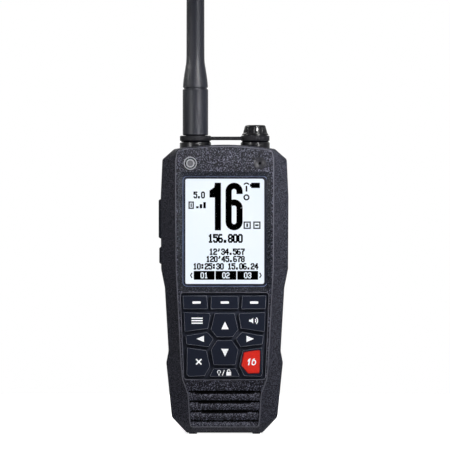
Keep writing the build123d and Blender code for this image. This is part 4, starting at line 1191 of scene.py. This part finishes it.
# The lips' pale colour is a painted highlight here too.
for node, depth, body, slot in (("rear_housing", y_back, "radio", "housing"),
                                ("battery_case", y_back, "battery_pack", "pack"),
                                ("belt_clip", y_clip, "clip", "clip")):
    lip(f"{node}_lip", borders(node, depth, ahead=1)[0], over_back, edge_highlight_satin, body, ahead=1)
lid_thickness = 1.7
lid_face = edges_of("battery_lid")[1][1] - lid_thickness
seal_x, seal_z, seal_radius = (-17.5, 17.5), (1.8, 91.7), 3.0
seal_width, seal_thickness = 1.4, 0.28
seal = flat_frame("pack_seal", seal_x, seal_z, seal_radius, lid_face - seal_thickness,
                  seal_thickness, 0.0, -seal_width)
piece(seal, finishes["seal"], "battery_pack")

screw_x, screw_y, screw_z = edges_of("battery_screw")
coin_slot_depth, coin_slot_length, coin_slot_width = 1.4, 8.0, 1.52
shade_thickness = 0.06
slot_floor = screw_y[1] - coin_slot_depth
# Painted shade: a dark mottled plate lies on the coin slot's floor.
painted_slot_shade = mottled("painted_slot_shade_mottle", (0.02, 0.019, 0.017), (0.06, 0.056, 0.05), 0.0006, 0.7)
shade = box_mark(middle(screw_x), middle(screw_z), coin_slot_length, coin_slot_width)
shade_mesh = plate_mesh("slot_shade", shade, slot_floor, slot_floor + shade_thickness)
piece(shade_mesh, painted_slot_shade, "coin_screw")
print(f"back at {y_back:.2f}, clip at {y_clip:.2f}, seal on the lid at {lid_face:.2f}")

# %% [markdown]
# ## The tether
#
# A moulded rubber strap keeps the jack's cap from being lost: one ring sits round the
# antenna's seat and the other round the cap's neck. The CAD solid is right in size, but a
# strap bends when the cap rises. So it is built again here with enough cross sections to
# bend, and stands in for the solid.

# %% Lathe and strap helpers
def lathe(shape, profile, x, y, segments=64):
    """Adds a ring turned about an upright axis from a closed profile of (radius, z)."""
    rows = []
    for i in range(segments):
        a = 2 * pi * i / segments
        rows.append([vertex_at(shape, x + r * cos(a), y + r * sin(a), z) for r, z in profile])
    skin(shape, rows)


def strap(shape, x_span, y_span, z_span, steps=36):
    """Adds a strap along x with rounded edges, cut into short lengths."""
    section = rounded_box(y_span, z_span, (z_span[1] - z_span[0]) * 0.3, 4)
    rows = []
    for i in range(steps + 1):
        x = x_span[0] + (x_span[1] - x_span[0]) * i / steps
        rows.append([vertex_at(shape, x, y, z) for y, z in section])
    skin(shape, rows, closed=False)
    shape.faces.new(rows[0])
    shape.faces.new(reversed(rows[-1]))


# %% Tether
tether_x, tether_y, tether_z = edges_of("cap_tether")
seat_x = edges_of("antenna_seat")[0]
collar_x = edges_of("jack_collar")[0]
left_ring, right_ring = middle(seat_x), middle(collar_x)
left_bore, left_radius = 5.1, left_ring - tether_x[0]
right_bore, right_radius = 5.85, tether_x[1] - right_ring
ring_y = middle(tether_y)
strap_width, strap_thickness = 5.0, 1.7
strap_x = (left_ring + 6.2, right_ring - 6.1)
strap_y = about(ring_y, strap_width)
strap_z = about(middle(tether_z), strap_thickness)

shape = bmesh.new()
left_edge, right_edge = 0.5, 0.4
lathe(shape, rounded_box((left_bore, left_radius), tether_z, left_edge, 4), left_ring, ring_y)
lathe(shape, rounded_box((right_bore, right_radius), tether_z, right_edge, 4), right_ring, ring_y)
strap(shape, strap_x, strap_y, strap_z)
tether = bpy.data.objects.new("rubber_tether", mesh_of(shape, "rubber_tether", smooth=True))
tether.data.materials.append(finishes["seal"])
bpy.context.collection.objects.link(tether)
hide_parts("cap_tether")
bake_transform(tether)
print("tether spans", round(right_ring - left_ring, 1), "mm between ring middles")

# %% [markdown]
# ## Wire along a path: the clip's spring and the threads
#
# A torsion spring is a wire wound round the pin, with two straight legs. A thread is the
# same idea, a ridge that climbs round a stud. Both follow a path, so one node tree serves
# them: it takes a chain of edges, makes a curve of it, and runs a round section along it.
# The path itself is a formula: the angle grows evenly while the height climbs.

# %% Node tree: a round wire along a chain of edges
wire_tree, given = new_tree("wire_along_path", {"Radius": 0.0003, "Sides": 8})
path = add(wire_tree, "GeometryNodeMeshToCurve", given["Geometry"])
section = add(wire_tree, "GeometryNodeCurvePrimitiveCircle", given["Sides"], Radius=given["Radius"])
swept = add(wire_tree, "GeometryNodeCurveToMesh", path, section, Fill_Caps=True)
end_tree(wire_tree, given, add(wire_tree, "GeometryNodeSetShadeSmooth", swept))


def wire(name, points, radius, sides, material, body):
    """A round wire along points in millimetres, as a piece on a body."""
    seed = seed_mesh(name, points, [(i, i + 1) for i in range(len(points) - 1)])
    sizes = {"Radius": radius * MM, "Sides": sides}
    return piece(grow(wire_tree, seed, material, sizes), material, body)


# %% Torsion spring
spring_x, spring_y, spring_z = edges_of("belt_clip_spring")
_, pin_y, pin_z = edges_of("belt_clip_pin")
pivot_y, pivot_z = middle(pin_y), middle(pin_z)
coil_radius, wire_radius = 1.68, 0.28
coil_turns, per_turn = 9, 20
coil_steps = coil_turns * per_turn + per_turn // 2
coil_half = spring_x[1] - wire_radius
coil = []
for i in range(coil_steps + 1):
    a = 2 * pi * i / per_turn
    x = -coil_half + 2 * coil_half * i / coil_steps
    coil.append((x, pivot_y - coil_radius * cos(a), pivot_z + coil_radius * sin(a)))
leg_foot, leg_head = spring_z[0] + 0.4, pivot_z - 3.2
leg_y = spring_y[0] + 0.5
case_leg = [(-coil_half, leg_y, leg_foot), (-coil_half, leg_y, leg_head)]
arm_leg = [(coil_half, pivot_y + coil_radius, leg_foot)]
spring = wire("clip_spring", case_leg + coil + arm_leg, wire_radius, 8, finishes["steel"],
              "battery_pack")
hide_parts("belt_clip_spring")
print("spring:", coil_turns + 0.5, "turns of", 2 * wire_radius, "mm wire")


# %% Threads of the antenna's stud and the jack's collar
def helix(x, y, low, high, radius, pitch, per_turn=28):
    """Points of an upright helix."""
    count = int((high - low) / pitch * per_turn)
    return [
        (x + radius * cos(2 * pi * i / per_turn), y + radius * sin(2 * pi * i / per_turn),
         low + pitch * i / per_turn)
        for i in range(count + 1)
    ]


stud_foot, stud_top = tether_z[1] + 1.3, edges_of("antenna_connector")[2][1] - 0.4
stud_radius, stud_pitch, stud_ridge = 3.02, 0.7, 0.14
stud_thread = helix(left_ring, ring_y, stud_foot, stud_top, stud_radius, stud_pitch)
wire("stud_thread", stud_thread, stud_ridge, 6, finishes["gold"], "radio")
collar_foot, collar_top = tether_z[0] + 0.5, edges_of("jack_collar")[2][1] - 0.3
collar_radius, collar_pitch, collar_ridge = 4.74, 1.0, 0.12
collar_thread = helix(right_ring, ring_y, collar_foot, collar_top, collar_radius, collar_pitch)
wire("collar_thread", collar_thread, collar_ridge, 6, finishes["gloss"], "radio")
print("threads of", stud_pitch, "and", collar_pitch, "mm pitch")
